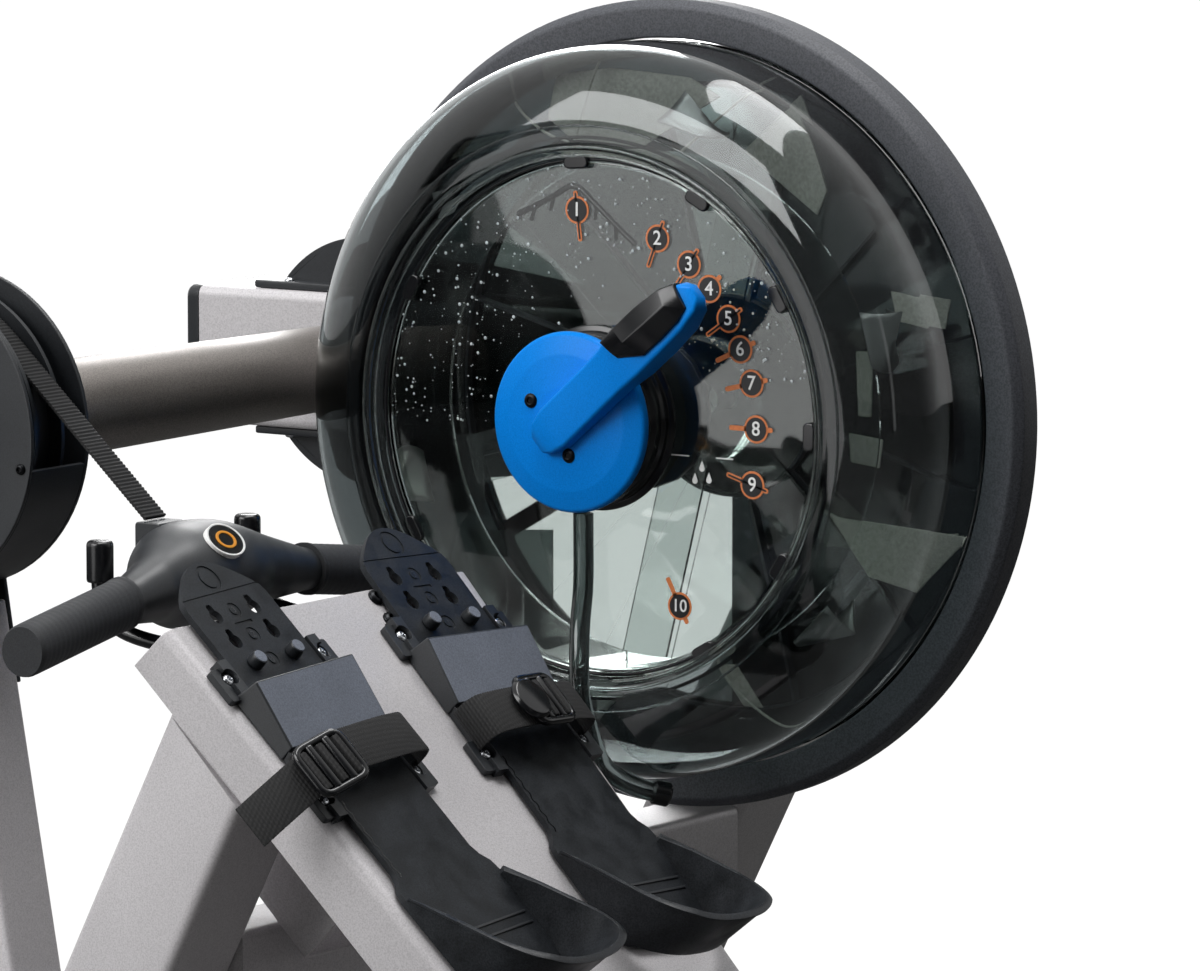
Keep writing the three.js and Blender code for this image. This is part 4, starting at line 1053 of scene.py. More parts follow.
# Beads round the dial: radius, place along the axis, thickness and finish.
rimBeads = {
    "dialGasket": (188.6, -107, 1.5, "polishedBlackAbs"),
    "dialLipInner": (192.2, -116.6, 1.1, "clearPolycarbonate"),
    "dialLipOuter": (198.6, -120.8, 1.2, "clearPolycarbonate"),
    "shellStep": (214, -120.9, 0.9, "smokedPolycarbonate"),
}


def onDial(degrees, radius, x):  # degrees count from straight up towards the rower
    turn = math.radians(degrees)
    return Vector((x, -radius * math.sin(turn), radius * math.cos(turn)))


dialFacing = turned(-90, "Y") @ turned(-90, "Z")  # lays a flat shape on the dial, its y upwards


def dialFrame(degrees, radius, x):  # the same, with y pointing away from the dial's centre
    return shift(*onDial(degrees, radius, x)) @ turned(degrees, "X") @ dialFacing


def frontRound(inset):
    middle, level = tank["roundCentre"]
    across, along = tank["roundAcross"] - inset, tank["roundAlong"] - inset
    return [(middle + across * c, level - along * s) for c, s in arcPoints(1, 0, 90, 18)]


def makeTankShells():
    out, inner = tank["ringOut"], tank["ringIn"]
    ring = fillet([(inner, -12), (out - 6, -12), (out, -5), (out, 14), (out - 4, 17), (inner, 17)],
                  [2, 4, 4, 3, 2, 2], 4)
    makePiece("clampRing", [lathe(ring, 180)], "texturedRingAbs", at=tankAt, sharp=50, replaces="tank_ring")
    shell = [(266, 1), (269.4, -12), (270.5, -18)] + frontRound(0)
    shell += [(196, -120.6), (193, -116.5), (190.5, -108), (190.5, -104.5), (196.5, -114), (199.5, -117.6)]
    shell += frontRound(tank["wall"])[::-1] + [(267, -18), (262.5, 1)]
    makePiece("frontShell", [lathe(shell, 160)], "smokedPolycarbonate", at=tankAt,
              replaces="front_tank_shell")
    rim = fillet([(269, 1.4), (269, 60), (248, 80), (233, 80), (233, 76.4), (245, 76.4), (265.5, 58),
                  (265.5, 1.4)], [0, 20, 14, 0, 0, 12, 18, 0], 6)
    # The rear rim takes the near-black tint: painted shade.
    makePiece("rearShellRim", [lathe(rim, 128)], "shadePaintedPolycarbonate", at=tankAt, replaces="rear_tank_shell")
    hub = fillet([(10.5, 76.6), (74, 76.6), (74, 80.4), (70, 84.6), (10.5, 84.6)], [0, 0, 1, 2, 0], 3)
    makePiece("rearShellHub", [lathe(hub, 96)], "polishedBlackAbs", at=tankAt)


def makeRearWall():
    low, high = tank["rearIn"], tank["rearOut"]
    for finish, sectors in rearPanels.items():
        panels = []
        for sector in sectors:
            arc = [math.radians(15 * (sector + t / 6)) for t in range(7)]
            edge = [(-high * math.sin(a), high * math.cos(a)) for a in arc]
            edge += [(-low * math.sin(a), low * math.cos(a)) for a in reversed(arc)]
            panels.append(prism(edge, 76.8, 79.8, "yz"))
        makePiece(f"rearPanels_{finish}", panels, finish, at=tankAt)
    rib = boxShape(68, 76.6, -1.2, 1.2, low + 2, high)
    # The pale window at the bottom has no ribs.
    ribs = [moved(rib, turned(30 * i + 15, "X")) for i in range(12) if i not in (6, 7)]
    ribs += [lathe(rectangle(radius, radius + 2.4, 70, 76.6), 96) for radius in (low + 2, high - 2)]
    makePiece("rearShellRibs", ribs, "grainedBlackAbs", at=tankAt)


def makeStorageDrum():
    r = tank["drumRadius"]
    shell = fillet([(22, -106), (r, -106), (r, -22), (r - 3, -22), (r - 3, -103), (22, -103)],
                   [0, 5, 0, 0, 3, 0], 4)
    makePiece("storageDrum", [lathe(shell, 128)], "clearPolycarbonate", at=tankAt, replaces="storage_chamber")
    socket = fillet([(12, -106.4), (68, -106.4), (68, -109), (63.5, -110), (63.5, -114), (61, -116),
                     (61, -120), (63, -122), (63, -126), (60, -128), (60, -134), (56, -137), (12, -137)],
                    [0, 1, 1, 1, 1, 1, 1, 1, 1, 1, 2, 2, 0], 3)
    makePiece("adjusterSocket", [lathe(socket, 96)], "polishedBlackAbs", at=tankAt,
              replaces="adjuster_socket")


def makeTransferPipe():
    route = [(-113.9, 8, -70), (-113.9, 8, -120), (-118, 8, -150), (-127, 3, -176), (-133, -2, -203),
             (-133, -10, -229), (-129, -17, -250), (-118, -24, -262), (-106, -36, -270), (-94, -47, -274.5)]
    pipe = sweep(smoothPath(route, 7), circle(tank["pipeRadius"], 20), up=(0, 1, 0.01))
    makePiece("transferPipe", [pipe], "tintedPvcTube", at=tankAt, replaces="transfer_pipe")
    collar = lathe([(0, -6), (9.4, -6), (9.4, 5), (7.6, 7), (0, 7)], 28, "Z")
    end = shift(*route[-1]) @ Vector((1, -1, -0.35)).to_track_quat("Z", "Y").to_matrix().to_4x4()
    makePiece("pipeCollar", [moved(collar, end)], "polishedBlackAbs", at=tankAt, bevel=0.6)


def makeDialRim():
    clip = prism(roundedBox(21, 10, 4.9, 5), 0, 5)
    clips = [moved(clip, dialFrame(degrees, radius, -106.5)) for degrees, radius in rimClips]
    makePiece("rimClips", clips, "polishedBlackAbs", at=tankAt, bevel=1.4, bevelSteps=3)
    for name, (radius, x, bead, finish) in rimBeads.items():
        section = [(radius + a, x - b) for a, b in circle(bead, 10)]
        makePiece(name, [lathe(section, 144)], finish, at=tankAt, sharp=80)


# Blades and plates inside the tank: distance along the axis, outline as (y, z), and how far it leans.
innerPlates = {
    "brightPaintedBladeSteel": [
        (20, [(118, 240), (72, 247), (3, 242), (-22, 228), (47, 185), (102, 189), (125, 206)], 4),
        (20, [(-40, 187), (-97, 234), (-121, 163), (-111, 144)], -8),
        (20, [(-174, 92), (-223, 88), (-218, 66), (-179, 70)], 3),
        (20, [(-141, 45), (-156, 46), (-154, -2), (-143, -2)], 0),
        (20, [(-135, -15), (-166, -18), (-163, -39), (-137, -36)], 0),
        (-20, [(-147, -70), (-259, -79), (-218, -122), (-180, -113)], 5),
        (20, [(-23, -195), (-40, -194), (-64, -225), (-47, -225)], 0),
    ],
    # Sheets in the mid-dark tint: painted shade inside the tank.
    "halfShadePaintedPolycarbonate": [
        (60, [(-114, 200), (-176, 191), (-168, 158), (-120, 160)], 0),
        (60, [(-131, 153), (-180, 145), (-189, 111), (-142, 117)], 0),
        (40, [(247, -42), (200, -39), (200, -101), (233, -103)], 0),
        (40, [(217, -114), (137, -108), (137, -172), (187, -176)], 0),
    ],
}
# Rolled edges of the plates, as (y, z) points, bright with the same painted light.
bladeLines = [
    [(156, 243), (154, 229), (142, 211), (122, 197), (99, 188)],
    [(69, 260), (79, 237), (87, 213), (94, 190)],
    [(-92, 252), (-61, 234), (-27, 208), (4, 183)],
    [(-121, -71), (-154, -81), (-197, -86), (-239, -81)],
    [(-28, -181), (-42, -204), (-70, -225), (-100, -238), (-130, -233)],
]
# The vent bracket on the dial's inner side, as (y, z) points.
ventLine = [(72, 145), (56, 152), (40, 160), (21.6, 168), (3, 155), (-14, 141), (-31, 128)]
drops = {"count": 420, "seed": 7, "from": -95, "to": 78, "inner": 74, "outer": 186, "least": 0.45,
         "spread": 0.95}


def makeTankInside():
    for finish, plates in innerPlates.items():
        shapes = []
        for along, points, lean in plates:
            y = sum(a for a, b in points) / len(points)
            z = sum(b for a, b in points) / len(points)
            flat = prism([(a - y, b - z) for a, b in points], -0.9, 0.9, "yz")
            shapes.append(moved(flat, shift(along, y, z) @ turned(lean, "Z")))
        makePiece(f"innerPlates_{finish}", shapes, finish, at=tankAt, bevel=0.4, bevelSteps=1)
    path = [Vector((-103.5, y, z)) for y, z in ventLine]
    vent = [sweep(smoothPath(path, 5), circle(2.2, 10), up=(1, 0, 0)),
            lathe(rectangle(204, 206.4, -116, -114), 128)]
    for i in (1, 2, 4, 5):
        vent.append(sweep([path[i], path[i] + Vector((0, 5 - i, -11))], circle(1.5, 8), up=(1, 0, 0)))
    makePiece("drumVent", vent, "polishedBlackAbs", at=tankAt)
    edges = [sweep(smoothPath([(5, y, z) for y, z in line], 6), circle(1.1, 8), up=(1, 0, 0))
             for line in bladeLines]
    makePiece("bladeEdges", edges, "brightPaintedBladeSteel", at=tankAt)


def makeWaterDrops():
    domes = []
    scatter = random.Random(drops["seed"])
    for i in range(drops["count"]):
        spread = scatter.random()
        degrees = scatter.uniform(drops["from"], drops["to"])
        radius = drops["inner"] + (drops["outer"] - drops["inner"]) * math.sqrt(spread)
        size = drops["least"] + drops["spread"] * scatter.random() ** 3  # most drops are small
        dome = lathe([(0, -size * 0.55), (size * 0.6, -size * 0.42), (size, 0), (0, 0)], 10)
        domes.append(moved(dome, shift(*onDial(degrees, radius, -106.2))))
    makePiece("waterDrops", domes, "condensedWater", at=tankAt, sharp=80)


dial = {
    "plane": -106.15,
    # number: degrees from straight up towards the rower, and distance from the centre
    "numbers": {1: (-7, 152), 2: (21, 143), 3: (34, 140), 4: (44, 138), 5: (55, 137), 6: (65, 135),
                7: (76, 136), 8: (90, 136), 9: (107, 139), 10: (152, 151)},
    "longMarks": (1, 2, 3, 5, 9),  # these have a black line inside their orange tick
    "disc": 8.6,
    "digit": 10.5,
    "wideDigit": 0.88,  # the 10 is drawn this much smaller
    "tickIn": 23,
    "tickOut": 14,
    "drops": [(-90, -30.8), (-84, -40), (-96, -39)],
    "dashes": [(-79, -62.5), (-116.6, -102)],
}


def makeDialMarks():
    black, orange, white = [], [], []
    plane, disc, out, into = dial["plane"], dial["disc"], dial["tickOut"], dial["tickIn"]
    for number, (degrees, radius) in dial["numbers"].items():
        at = dialFrame(degrees, radius, plane)
        tickAt = at @ shift(0, (out - into) / 2, 0)
        orange.append(moved(rod(disc + 1.6, 0, 0.2, 36, "Z"), at))
        orange.append(moved(prism(roundedBox(3.6, out + into, 1.7), 0, 0.2), tickAt))
        black.append(moved(rod(disc, 0.2, 0.4, 36, "Z"), at))
        if number in dial["longMarks"]:
            black.append(moved(prism(roundedBox(1.4, out + into - 3, 0.7), 0.2, 0.4), tickAt))
        size = dial["digit"] * (dial["wideDigit"] if number == 10 else 1)
        upright = shift(*onDial(degrees, radius, plane - 0.55)) @ dialFacing
        white.append(digitShape(str(number), size, upright, 0.3))
    tear = [(0, 5.2)] + arcPoints(2.3, -190, 10, 9, (0, -0.6))
    white += [moved(prism(tear, 0, 0.4), shift(plane - 0.2, y, z) @ dialFacing) for y, z in dial["drops"]]
    white += [boxShape(plane - 0.6, plane - 0.2, y0, y1, -23.4, -22.5) for y0, y1 in dial["dashes"]]
    makePiece("dialRings", orange, "orangeInk", at=tankAt)
    makePiece("dialDiscs", black, "blackInk", at=tankAt)
    makePiece("dialDigits", white, "whiteInk", at=tankAt)


impeller = {
    "blades": 6,
    "phase": 14,
    "arm": (38, 184),  # width and length of a flat arm
    "armMiddle": 121,
    "armFrom": 30,
    "armTo": 33,
    "bladeWidth": 38,
    "bladeMiddle": -49,
    "bladeDepth": 40,
    "curl": 26,
    "edge": 215,
    "scoop": 48,
    "sheet": 1.5,
}


def makeImpeller():
    arms, sheets = [], []
    outline = [(a, b + impeller["armMiddle"]) for a, b in roundedBox(*impeller["arm"], 4)]
    flatArm = prism(outline, impeller["armFrom"], impeller["armTo"], "yz")
    steps = 8
    row = steps + 1
    sheet = []
    for j in range(row):
        t = j / steps - 0.5
        for k in range(row):
            u = k / steps - 0.5
            sheet.append((t * impeller["bladeWidth"] + impeller["bladeMiddle"],
                          u * impeller["bladeDepth"] + impeller["curl"] * t * t,
                          impeller["edge"] + impeller["scoop"] * (0.5 - abs(t)) * (u + 0.5)))
    faces = [[a * row + b, a * row + b + 1, (a + 1) * row + b + 1, (a + 1) * row + b]
             for a in range(steps) for b in range(steps)]
    for i in range(impeller["blades"]):
        turn = turned(360 / impeller["blades"] * i + impeller["phase"], "X")
        arms.append(moved(flatArm, turn))
        sheets.append(moved((sheet, faces), turn))
    blades = makePiece("impellerBlades", sheets, "rolledStainless", "impeller_line", at=tankAt, sharp=60,
                       replaces="impeller")
    applyModifier(blades, "SOLIDIFY", thickness=impeller["sheet"] * millimetre)
    hub = fillet([(0, 12), (10, 12), (10, 24), (48, 24), (48, 44), (12, 44), (10, 60), (10, 156), (0, 156)],
                 [0, 1, 3, 3, 3, 3, 3, 1, 0], 3, False)
    makePiece("impellerSpider", arms + [lathe(hub, 48)], "clearPolycarbonate", "impeller_line", at=tankAt,
              bevel=0.5)


makeTankShells()
makeRearWall()
makeStorageDrum()
makeTransferPipe()
makeDialRim()
makeTankInside()
makeWaterDrops()
makeDialMarks()
makeImpeller()
print("tank built")


# Adjuster: blue hub and lever, with the lever standing along z before it is turned.
adjuster = {
    "turn": 49,
    # lever sections: distance from the axis, half width, and x of its foot and of its top
    "lever": [(-26, 4, -150, -155), (-24, 9, -150, -160), (-16, 14.5, -150, -163.5), (-4, 17.5, -150, -164.5),
              (20, 17.5, -151, -165.5), (50, 17.5, -151.5, -167), (66, 18, -152, -168.5),
              (84, 19.5, -149, -171), (110, 19, -147, -171), (134, 17.5, -147, -169.5), (150, 13, -149, -166),
              (156, 6, -151.5, -162)],
    "screws": [(28, 15), (-5, -23)],
}
adjusterAt = tankAt @ turned(adjuster["turn"], "X")


def makeAdjuster():
    disc = fillet([(0, -137.5), (64, -137.5), (66.5, -141), (65, -145.8), (50, -150), (26, -152.8),
                   (0, -153.5)], [0, 2, 3, 5, 16, 16, 0], 6, False)
    makePiece("adjusterDisc", [lathe(disc, 128)], "blueMouldedAbs", "adjuster", at=adjusterAt,
              replaces="adjuster_hub")
    rings = []
    for along, half, foot, top in adjuster["lever"]:
        r = min(3.2, half * 0.4)
        ring = fillet([(-half, foot), (-half + 1, top), (half - 1, top), (half, foot)], [1, r, r, 1], 4)
        rings.append([(x, y, along) for y, x in ring])
    makePiece("adjusterLever", [loft(rings)], "blueMouldedAbs", "adjuster", at=adjusterAt, sharp=50,
              replaces="adjuster_lever")
    grip = [
        [(-168, 0, 79), (-171.3, 1, 79), (-172.3, 8, 77), (-171.3, 19, 74), (-160, 20.6, 74)],
        [(-166, -12.6, 99), (-173.4, -11.8, 99), (-178.3, 5, 94), (-172.5, 19.6, 90), (-158, 21, 90)],
        [(-166, -12.6, 117), (-173.6, -11.8, 117), (-178.5, 4, 116), (-172.5, 19.6, 114), (-158, 21, 114)],
        [(-164, -11, 136), (-172.2, -10.4, 136), (-175.8, 4, 137), (-170.8, 17.6, 138), (-157, 19, 138)],
        [(-162, -7, 147), (-168.6, -6.4, 147), (-170.6, 3, 149), (-168, 13.4, 150), (-158, 14.4, 150)],
    ]
    makePiece("leverGripInsert", [loft(grip)], "polishedBlackAbs", "adjuster", at=adjusterAt, bevel=1,
              bevelSteps=3, replaces="lever_grip")
    level = turned(-adjuster["turn"], "X")
    screws = [boltHead(level @ Vector((-152.6, y, z)), (-1, 0, 0), 5.4, 1.8) for y, z in adjuster["screws"]]
    makePiece("adjusterScrews", screws, "blackOxideScrew", "adjuster", at=adjusterAt)


makeAdjuster()
print("adjuster built")


# Arm end, cross shaft tube and pulley guards.
crossShaft = {"from": -165.4, "to": 314.7, "leftRadius": 37.2, "rightRadius": 32.4, "wall": 4}
guard = {
    "crown": 97,
    "crownEnd": 104,
    "half": 30,
    "low": 54.4,
    "plateTop": 60.4,
    "far": -264,
    "farHeight": 64.5,
    "plateHalf": 45,
    "plateEnds": (-274, 95),
    "screwX": 38,
    "screwY": (66, -120, -262),
}


def makeArmEnd():
    y, z = layout["shaft"]
    wall = crossShaft["wall"]
    left, right = crossShaft["leftRadius"], crossShaft["rightRadius"]
    tube = fillet([(left - wall, crossShaft["from"]), (left, crossShaft["from"]), (right, crossShaft["to"]),
                   (right - wall, crossShaft["to"])], 0.6, 2)
    makePiece("crossShaftTube", [moved(lathe(tube, 96), shift(0, y, z))], "greyMetallicCoat",
              replaces="cross_shaft_tube")
    x, z = layout["arm"]
    half = arm["size"] / 2
    outline = fillet([(-half, -half), (-half, half), (half, half), (half, -half)], 9, 6)
    rings = []
    for depth, shrink in ((0, 1), (8.6, 1), (11.2, 0.975), (12.8, 0.93), (13.8, 0.86), (14.2, 0.78)):
        rings.append([(x + a * shrink, arm["to"] + 0.4 + depth, z + b * shrink) for a, b in outline])
    makePiece("armEndCap", [loft(rings)], "grainedBlackAbs", sharp=60, replaces="arm_end_cap")


def makeGuard(s, name):  # s is 1 for the guard on top of the arm and -1 for the one under it
    y, z = layout["shaft"]
    at = shift(layout["arm"][0], y, z)
    start = math.degrees(math.asin((guard["low"] - 0.1) / guard["crown"]))
    crown = [(80.6, guard["low"])] + arcPoints(guard["crown"], start, guard["crownEnd"], 27)
    crown += [(guard["far"], guard["farHeight"]), (guard["far"], guard["low"])]
    body = prism([(a, s * b) for a, b in crown], -guard["half"], guard["half"], "yz")
    makePiece(f"pulleyGuard_{name}", [body], "grainedBlackAbs", at=at, bevel=4, bevelSteps=4,
              replaces=f"pulley_guard_{name}")
    flange = boxShape(-guard["plateHalf"], guard["plateHalf"], *guard["plateEnds"],
                      *sorted((s * guard["low"], s * guard["plateTop"])))
    makePiece(f"guardFlange_{name}", [flange], "grainedBlackAbs", at=at, bevel=1.4)
    spots = [(side * guard["screwX"], along) for along in guard["screwY"] for side in (-1, 1)]
    screws = [boltHead((a, b, s * (guard["plateTop"] - 0.2)), (0, 0, s), 4, 2.4) for a, b in spots]
    makePiece(f"guardScrews_{name}", screws, "zincPlatedScrew", at=at)


makeArmEnd()
makeGuard(1, "upper")
makeGuard(-1, "lower")
print("drive line built")


# Handle: a thick moulded middle, two rubber grips and a plain badge.
handle = {
    "place": (674, 652),
    "half": 240,
    "gripFrom": 108,
    "gripRadius": 18.3,
    "grooves": 134 / 6.2,  # the grip's length over the distance between two grooves
    "grooveDepth": 0.12,
    "lean": 0.12,  # the bars fall and sweep back by this share of their length
    "sweep": 16,
    # half of its side outline: distance from the middle, and radius
    "outline": [(0, 38), (14, 37.5), (24, 36.4), (35, 33.5), (50, 28), (66, 23.5), (80, 20.5), (95, 17.6),
                (106, 15.6), (125, 15), (180, 15), (238, 15)],
}


def middleShare(x):  # 1 at the handle's middle, 0 from 70 mm outwards
    return max(1 - abs(x) / 70, 0)


def barPlace(x):  # the handle's centre line: swept forward in the middle, tips lower and further back
    out = handle["lean"] * max(abs(x) - 50, 0)
    return Vector((x, handle["sweep"] * middleShare(x) - out, -out))


def makeHandle(at):
    half = [(p.x, p.z) for p in smoothPath([(x, 0, r) for x, r in handle["outline"]], 4)]
    rings = []
    for x, tall in mirrored(half) + half[1:]:
        deep = tall * (1 + 0.2 * middleShare(x) ** 1.2)
        rings.append([barPlace(x) + Vector((0, deep * c, tall * s)) for c, s in circle(1, 48)])
    makePiece("handleBody", [loft(rings)], "grainedBlackAbs", "handle", at=at, sharp=60,
              replaces="handle_core")
    clip = fillet(rectangle(30, 52, 10, 36), [3, 6, 3, 3], 4)
    makePiece("beltClip", [prism(clip, -15, 15, "yz")], "grainedBlackAbs", "handle", at=at, bevel=1.2)


def makeGrip(side, label, at):
    start, length, steps = handle["gripFrom"], handle["half"] + 2 - handle["gripFrom"], 120
    rings = []
    for i in range(steps + 1):
        s = i / steps
        size = handle["gripRadius"]
        if 0.06 < s < 0.94:
            size += handle["grooveDepth"] * math.cos(2 * math.pi * s * handle["grooves"])
        # A collar at the inner end and a rounded tip.
        size += 0.7 * (s < 0.03) - 1.2 * max(0, (s - 0.97) / 0.03)
        rings.append([barPlace(side * (start + length * i / steps)) + Vector((0, size * c, size * q))
                      for c, q in circle(1, 36)])
    makePiece(f"rubberGrip_{label}", [loft(rings)], "blackRubber", "handle", at=at, sharp=60,
              replaces=f"handle_grip_{label}")


def makeBadge(at):  # a plain oval on the upper rear of the middle
    oval = shift(-4, -16.6, 24.4) @ turned(47, "X") @ Matrix.Diagonal((1.05, 0.8, 1, 1))
    rows = {
        "badgeRing": (fillet(rectangle(16, 18, 0, 4.6), 0.5, 2), 64, "whiteInk"),
        "badgeFace": ([(0, 0), (16.2, 0), (16.2, 4.2), (0, 4.4)], 64, "polishedBlackAbs"),
        "badgeMark": (fillet(rectangle(7, 9.6, 4, 4.9), 0.3, 2), 48, "amberInk"),
    }
    for name, (profile, segments, finish) in rows.items():
        makePiece(name, [moved(lathe(profile, segments, "Z"), oval)], finish, "handle", at=at)


handleAt = shift(layout["seatLine"], *handle["place"])
makeHandle(handleAt)
makeGrip(-1, "left", handleAt)
makeGrip(1, "right", handleAt)
makeBadge(handleAt)
print("handle built")

rest = {"x": 87, "bar": 5.5, "knob": 9.5, "knobEnds": (655, 684.5), "plate": 5}


def makeRest():
    bracket = fillet(rectangle(-93, 93, 62, 92), 6, 4)
    makePiece("restBracket", [prism(bracket, boardUnder - rest["plate"], boardUnder)], "polishedBlackAbs",
              at=spineAt, bevel=1, replaces="handle_rest")
    route = [(548, 603), (575, 612), (610, 616), (655, 616.5), (690, 626), (702, 648), (702, 672)]
    hooks = []
    for s in (-1, 1):
        x = layout["seatLine"] + s * rest["x"]
        path = smoothPath([(x, y, z) for y, z in route], 7)
        hooks.append(sweep(path, circle(rest["bar"], 18), up=(1, 0, 0)))
        sleeve = rod(rest["knob"], *rest["knobEnds"], 32, "Z", (2, 4), 5)
        hooks.append(moved(sleeve, shift(x, route[-1][0], 0)))
    makePiece("restHooks", hooks, "polishedBlackAbs")


makeRest()
print("handle rest built")


# Drum, its housing and the pull belt.
drum = {"radius": 95, "flange": 106, "windows": 6, "windowRadius": 14, "windowOut": 60}
housing = {"radius": 116, "wall": 4, "leftX": -34.3, "rightX": 30.3, "screwRadius": 108,
           "screws": (-50, 10, 70, 130, 190, 235)}
pullBelt = {"clip": (718, 691), "half": 12, "thick": 2.6, "ribPitch": 3.2, "end": -60}


def makeHousing(at):
    y, z = layout["shaft"]
    outer, wall = housing["radius"], housing["wall"]
    cheek = arcPoints(outer, -75.7, 250, 72, (y, z)) + [(866, 556), (928, 556)]
    hole = moved(rod(12.6, -60, 60, 40), shift(0, y, z))
    for side, x, name in ((-1, housing["leftX"], "left"), (1, housing["rightX"], "right")):
        makePiece(f"housingCheek_{name}", [prism(cheek, x, x + wall, "yz")], "grainedBlackAbs", at=at,
                  cuts=[hole], bevel=1.2, replaces=f"drive_housing_{name}")
        face = x if side < 0 else x + wall
        spots = [arcPoints(housing["screwRadius"], a, a, 1, (y, z))[0] for a in housing["screws"]]
        screws = [boltHead((face, *spot), (side, 0, 0), 4, 2.6) for spot in spots]
        makePiece(f"housingScrews_{name}", screws, "blackOxideScrew", at=at)
    rim = arcPoints(outer, -170, 80, 60, (y, z)) + arcPoints(outer - wall, 80, -170, 60, (y, z))
    makePiece("housingRim", [prism(rim, -30.6, 29.7, "yz")], "grainedBlackAbs", at=at, bevel=0.8)
    post = fillet(rectangle(948, 962, 848, 935), 3, 3)
    knuckle = moved(rod(8, -14, 14, 32, "X", (1.5, 1.5)), shift(0, *console["hinge"]))
    makePiece("consolePost", [prism(post, -14, 14, "yz"), knuckle], "grainedBlackAbs", at=at, bevel=1)


def makeDrum(at):
    r, f = drum["radius"], drum["flange"]
    half = [(12.4, -17.5), (30, -17.5), (34, -15), (84, -15), (88, -17.5), (f, -17.5), (f, -13.8), (r, -13.4)]
    profile = half + [(radius, -along) for radius, along in reversed(half)]
    hole = rod(drum["windowRadius"], -30, 30, 24)
    windows = [moved(hole, turned(360 / drum["windows"] * i, "X") @ shift(0, 0, drum["windowOut"]))
               for i in range(drum["windows"])]
    makePiece("beltDrum", [lathe(profile, 96)], "grainedBlackAbs", "drive_line",
              at=at @ shift(0, *layout["shaft"]), cuts=windows, bevel=0.6, replaces="belt_drum")


def makePullBelt(at):  # straight from the handle's clip to the drum, then round it
    r, start = drum["radius"], Vector(pullBelt["clip"])
    away = Vector(layout["shaft"]) - start
    angle = math.atan2(away.y, away.x) + math.asin((r + 3.4) / away.length)
    begin = start + Vector((math.sin(angle), -math.cos(angle))) * 1.5
    wrap = arcPoints(r + 1.9, math.degrees(angle) + 90, pullBelt["end"], 26, layout["shaft"])
    line = [tuple(begin.lerp(Vector(wrap[0]), t / 12)) for t in range(12)] + wrap
    strip = ribbon(line, -pullBelt["half"], pullBelt["half"], pullBelt["thick"], pullBelt["ribPitch"])
    makePiece("pullBelt", [moved(strip, turned(90, "Z"))], "wovenPolyester", "handle", at=at, sharp=70,
              replaces="pull_belt")


console = {
    "hinge": (955, 938),
    "tilt": -18,
    "window": (-78, 78, 44, 116),
    "glass": (-72, 72, 50, 110),
    "face": -18.3,
    # reading, its height, and x and z of its middle
    "readings": [("0:00", 20, -26, 90), ("000", 14, 38, 90), ("00", 14, -38, 63), ("0", 14, 34, 63)],
}
seatLineAt = shift(layout["seatLine"], 0, 0)
makeHousing(seatLineAt)
makeDrum(seatLineAt)
makePullBelt(seatLineAt)
print("drum and belt built")


# Seat: a stuffed vinyl cushion with a welt and a row of stitches, on two pairs of rollers.
cushion = {
    "low": 52,
    "high": 99,
    "middle": 71,
    "layers": 14,
    "well": 7,  # depth of the two hollows
    "wellAt": (56, -22),
    "wellSize": (44, 48),
    "channel": 5,  # depth of the groove between them
    "stitches": 110,
    "stitchIn": 2.6,
    "stitchUp": 13,
    "welt": 2.1,
}
seat = {"place": (-402, 405), "rollerY": 60, "rollerZ": 22, "axle": 6, "axleHalf": 46.5}


def cushionPlan():
    front = bezier([(150, -60), (156, 20), (129, 103), (76, 112)], 16)[:-1]
    front += bezier([(76, 112), (44, 117), (22, 101), (0, 101)], 16)
    back = bezier([(-150, -60), (-146, -118), (-64, -124), (0, -124)], 16)
    return front + mirrored(front[1:-1]) + back + mirrored(back[1:-1])


def cushionHeight(x, y, rho, crown):  # rho runs from 1 at the welt to 0 in the middle
    edge = cushion["high"] if crown else cushion["low"]
    z = cushion["middle"] + (edge - cushion["middle"]) * (1 - rho ** 4.5) ** (1 / 2.6)
    if crown:
        (wellX, wellY), (across, along) = cushion["wellAt"], cushion["wellSize"]
        dip = sum(math.exp(-((x - s * wellX) / across) ** 2 - ((y - wellY) / along) ** 2) for s in (-1, 1))
        channel = math.exp(-(x / 16) ** 2) * (0.6 if y < -30 else 0.25)
        z -= (cushion["well"] * dip + cushion["channel"] * channel) * (1 - rho ** 6)
    return z


def makeCushion(at):
    plan = cushionPlan()
    layers, n = cushion["layers"], len(plan)
    verts, faces = [], []
    for crown in (True, False):
        base = len(verts)
        for j in range(layers):
            rho = 1 - j / layers
            shrink = rho ** 0.8
            for x, y in plan:
                verts.append((x * shrink, y * shrink, cushionHeight(x * shrink, y * shrink, rho, crown)))
        for j in range(layers - 1):
            for i in range(n):
                a, b = base + j * n + i, base + j * n + (i + 1) % n
                faces.append([a, b, b + n, a + n])
        faces.append([base + (layers - 1) * n + i for i in range(n)])
    pad = makePiece("seatCushion", [(verts, faces)], "pebbledVinyl", "seat", at=at, sharp=80, subdivide=1,
                    replaces="seat_cushion")
    loop = [Vector((x * 1.002, y * 1.002, cushion["middle"])) for x, y in plan]
    makePiece("seatWelt", [hoop(loop, circle(cushion["welt"], 10))], "pebbledVinyl", "seat", at=at, sharp=80)
    makeStitches(loop, at)


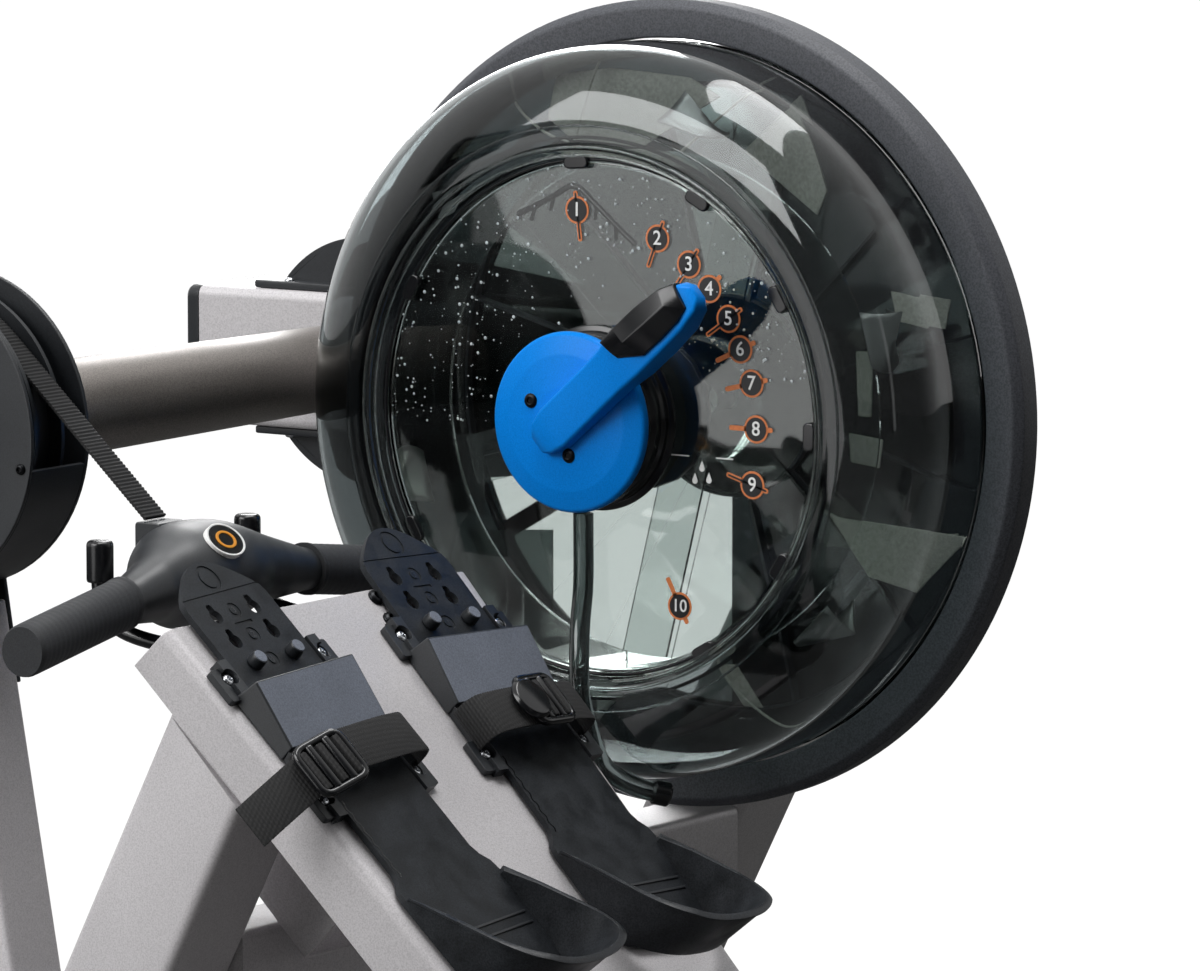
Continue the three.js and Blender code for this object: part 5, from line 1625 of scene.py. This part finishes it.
def makeStitches(loop, at):
    n, count = len(loop), cushion["stitches"]
    marks, walked, thread = [0], 0, []
    for a, b in zip(loop, loop[1:] + loop[:1]):
        walked += (b - a).length
        marks.append(walked)
    stitch = rod(0.55, -2.4, 2.4, 8, "X", (0.4, 0.4), 2)
    for k in range(count):
        s = walked * k / count
        i = max(j for j in range(n) if marks[j] <= s)
        a, b = loop[i], loop[(i + 1) % n]
        spot = a.lerp(b, (s - marks[i]) / max(marks[i + 1] - marks[i], 1e-6))
        inward = Vector((-spot.x, -spot.y, 0)).normalized()
        place = spot + inward * cushion["stitchIn"] + Vector((0, 0, cushion["stitchUp"]))
        heading = math.degrees(math.atan2((b - a).y, (b - a).x))
        thread.append(moved(stitch, shift(*place) @ turned(heading, "Z")))
    makePiece("seatStitches", thread, "blackRubber", "seat", at=at)


def makeRollers(name, y, at):
    tread = fillet([(6, 14), (19, 14), (21.7, 17), (21.7, 31), (19, 34), (10, 34), (9, 31), (6, 31)],
                   [0, 2, 2, 2, 2, 1, 1, 0], 4)
    pair = [lathe([(r, s * x) for r, x in tread], 48) for s in (-1, 1)]
    body, place = f"{name}_roller_set", at @ shift(0, y, seat["rollerZ"])
    makePiece(f"rollers_{name}", pair, "blackRubber", body, at=place, replaces=f"{name}_rollers")
    axle = rod(seat["axle"], -seat["axleHalf"], seat["axleHalf"], 32, "X", (1, 1))
    makePiece(f"rollerAxle_{name}", [axle], "zincPlatedScrew", body, at=place)


seatAt = shift(layout["seatLine"], *seat["place"])
makeCushion(seatAt)
makeRollers("front", seat["rollerY"], seatAt)
makeRollers("rear", -seat["rollerY"], seatAt)
print("seat built")


# Transport wheels and console.
wheel = {"place": (380, 876, 36), "radius": 32, "half": 12}


def makeWheels():
    x, y, z = wheel["place"]
    r, half = wheel["radius"], wheel["half"]
    side = [(6, -half), (12, -half), (13, -8), (24, -8), (26, -half), (r, -half)]
    rounds = [0, 1, 1, 1, 2, 3]
    tread = fillet(side + [(radius, -along) for radius, along in reversed(side)], rounds + rounds[::-1], 3)
    for s, label in ((-1, "left"), (1, "right")):
        makePiece(f"transportWheel_{label}", [lathe(tread, 64)], "blackRubber", f"{label}_wheel",
                  at=shift(s * x, y, z), replaces=f"transport_wheel_{label}")


def makeConsole():
    at = shift(layout["seatLine"], *console["hinge"]) @ turned(console["tilt"], "X")
    face = console["face"]
    window = fillet(rectangle(*console["window"]), 5, 4)
    glass = fillet(rectangle(*console["glass"]), 3, 4)
    makePiece("consoleBezel", [prism(window, 16, 17.4, "xz"), prism(window, -17.4, -16.1, "xz")],
              "polishedBlackAbs", "console", at=at, bevel=0.6)
    makePiece("consoleScreen", [prism(glass, face + 0.3, face + 1, "xz")], "liquidCrystal", "console", at=at)
    digits = [digitShape(text, size, shift(x, face, z) @ turned(90, "X"), 0.4)
              for text, size, x, z in console["readings"]]
    makePiece("consoleDigits", digits, "blackInk", "console", at=at)


makeWheels()
makeConsole()
print("wheels and console built")


# What is left of the solids: each gets its finish and softly rounded edges.
slotFinish = {
    "frame_paint": "powderCoatedSteel",
    "tube_paint": "greyMetallicCoat",
    "rail_aluminium": "anodisedAluminium",
    "black_plastic": "grainedBlackAbs",
    "glossy_black_plastic": "polishedBlackAbs",
    "ring_plastic": "texturedRingAbs",
    "blue_plastic": "blueMouldedAbs",
    "clear_shell": "smokedPolycarbonate",
    "black_rubber": "blackRubber",
    "webbing": "wovenPolyester",
    "steel": "rolledStainless",
    "seat_vinyl": "pebbledVinyl",
}
edgeRound = 1.3
bodyOf = {node: body for body, nodes in frame["record"]["behaviour"]["bodies"].items() for node in nodes}


def soften(node, finish):  # the solid's own shape, with its sharp edges rounded as on the real thing
    source = frame["nodes"][node]
    bm = bmesh.new()
    bm.from_mesh(source.data)
    bm.transform(Matrix.Scale(1 / millimetre, 4) @ source.matrix_world)
    bmesh.ops.remove_doubles(bm, verts=bm.verts, dist=0.001)
    bmesh.ops.dissolve_limit(bm, angle_limit=math.radians(0.5), verts=bm.verts, edges=bm.edges)
    shape = ([tuple(v.co) for v in bm.verts], [[v.index for v in f.verts] for f in bm.faces])
    bm.free()
    makePiece(node + "_rounded", [shape], finish, bodyOf[node], bevel=edgeRound, replaces=node)


for entry in frame["record"]["subparts"]:
    node, finish = entry["node"], slotFinish[entry["material_slot"]]
    mesh = frame["nodes"][node].data
    mesh.materials.clear()
    mesh.materials.append(finishes[finish])
    if node not in replacedNodes:
        soften(node, finish)
print("remaining pieces rounded")
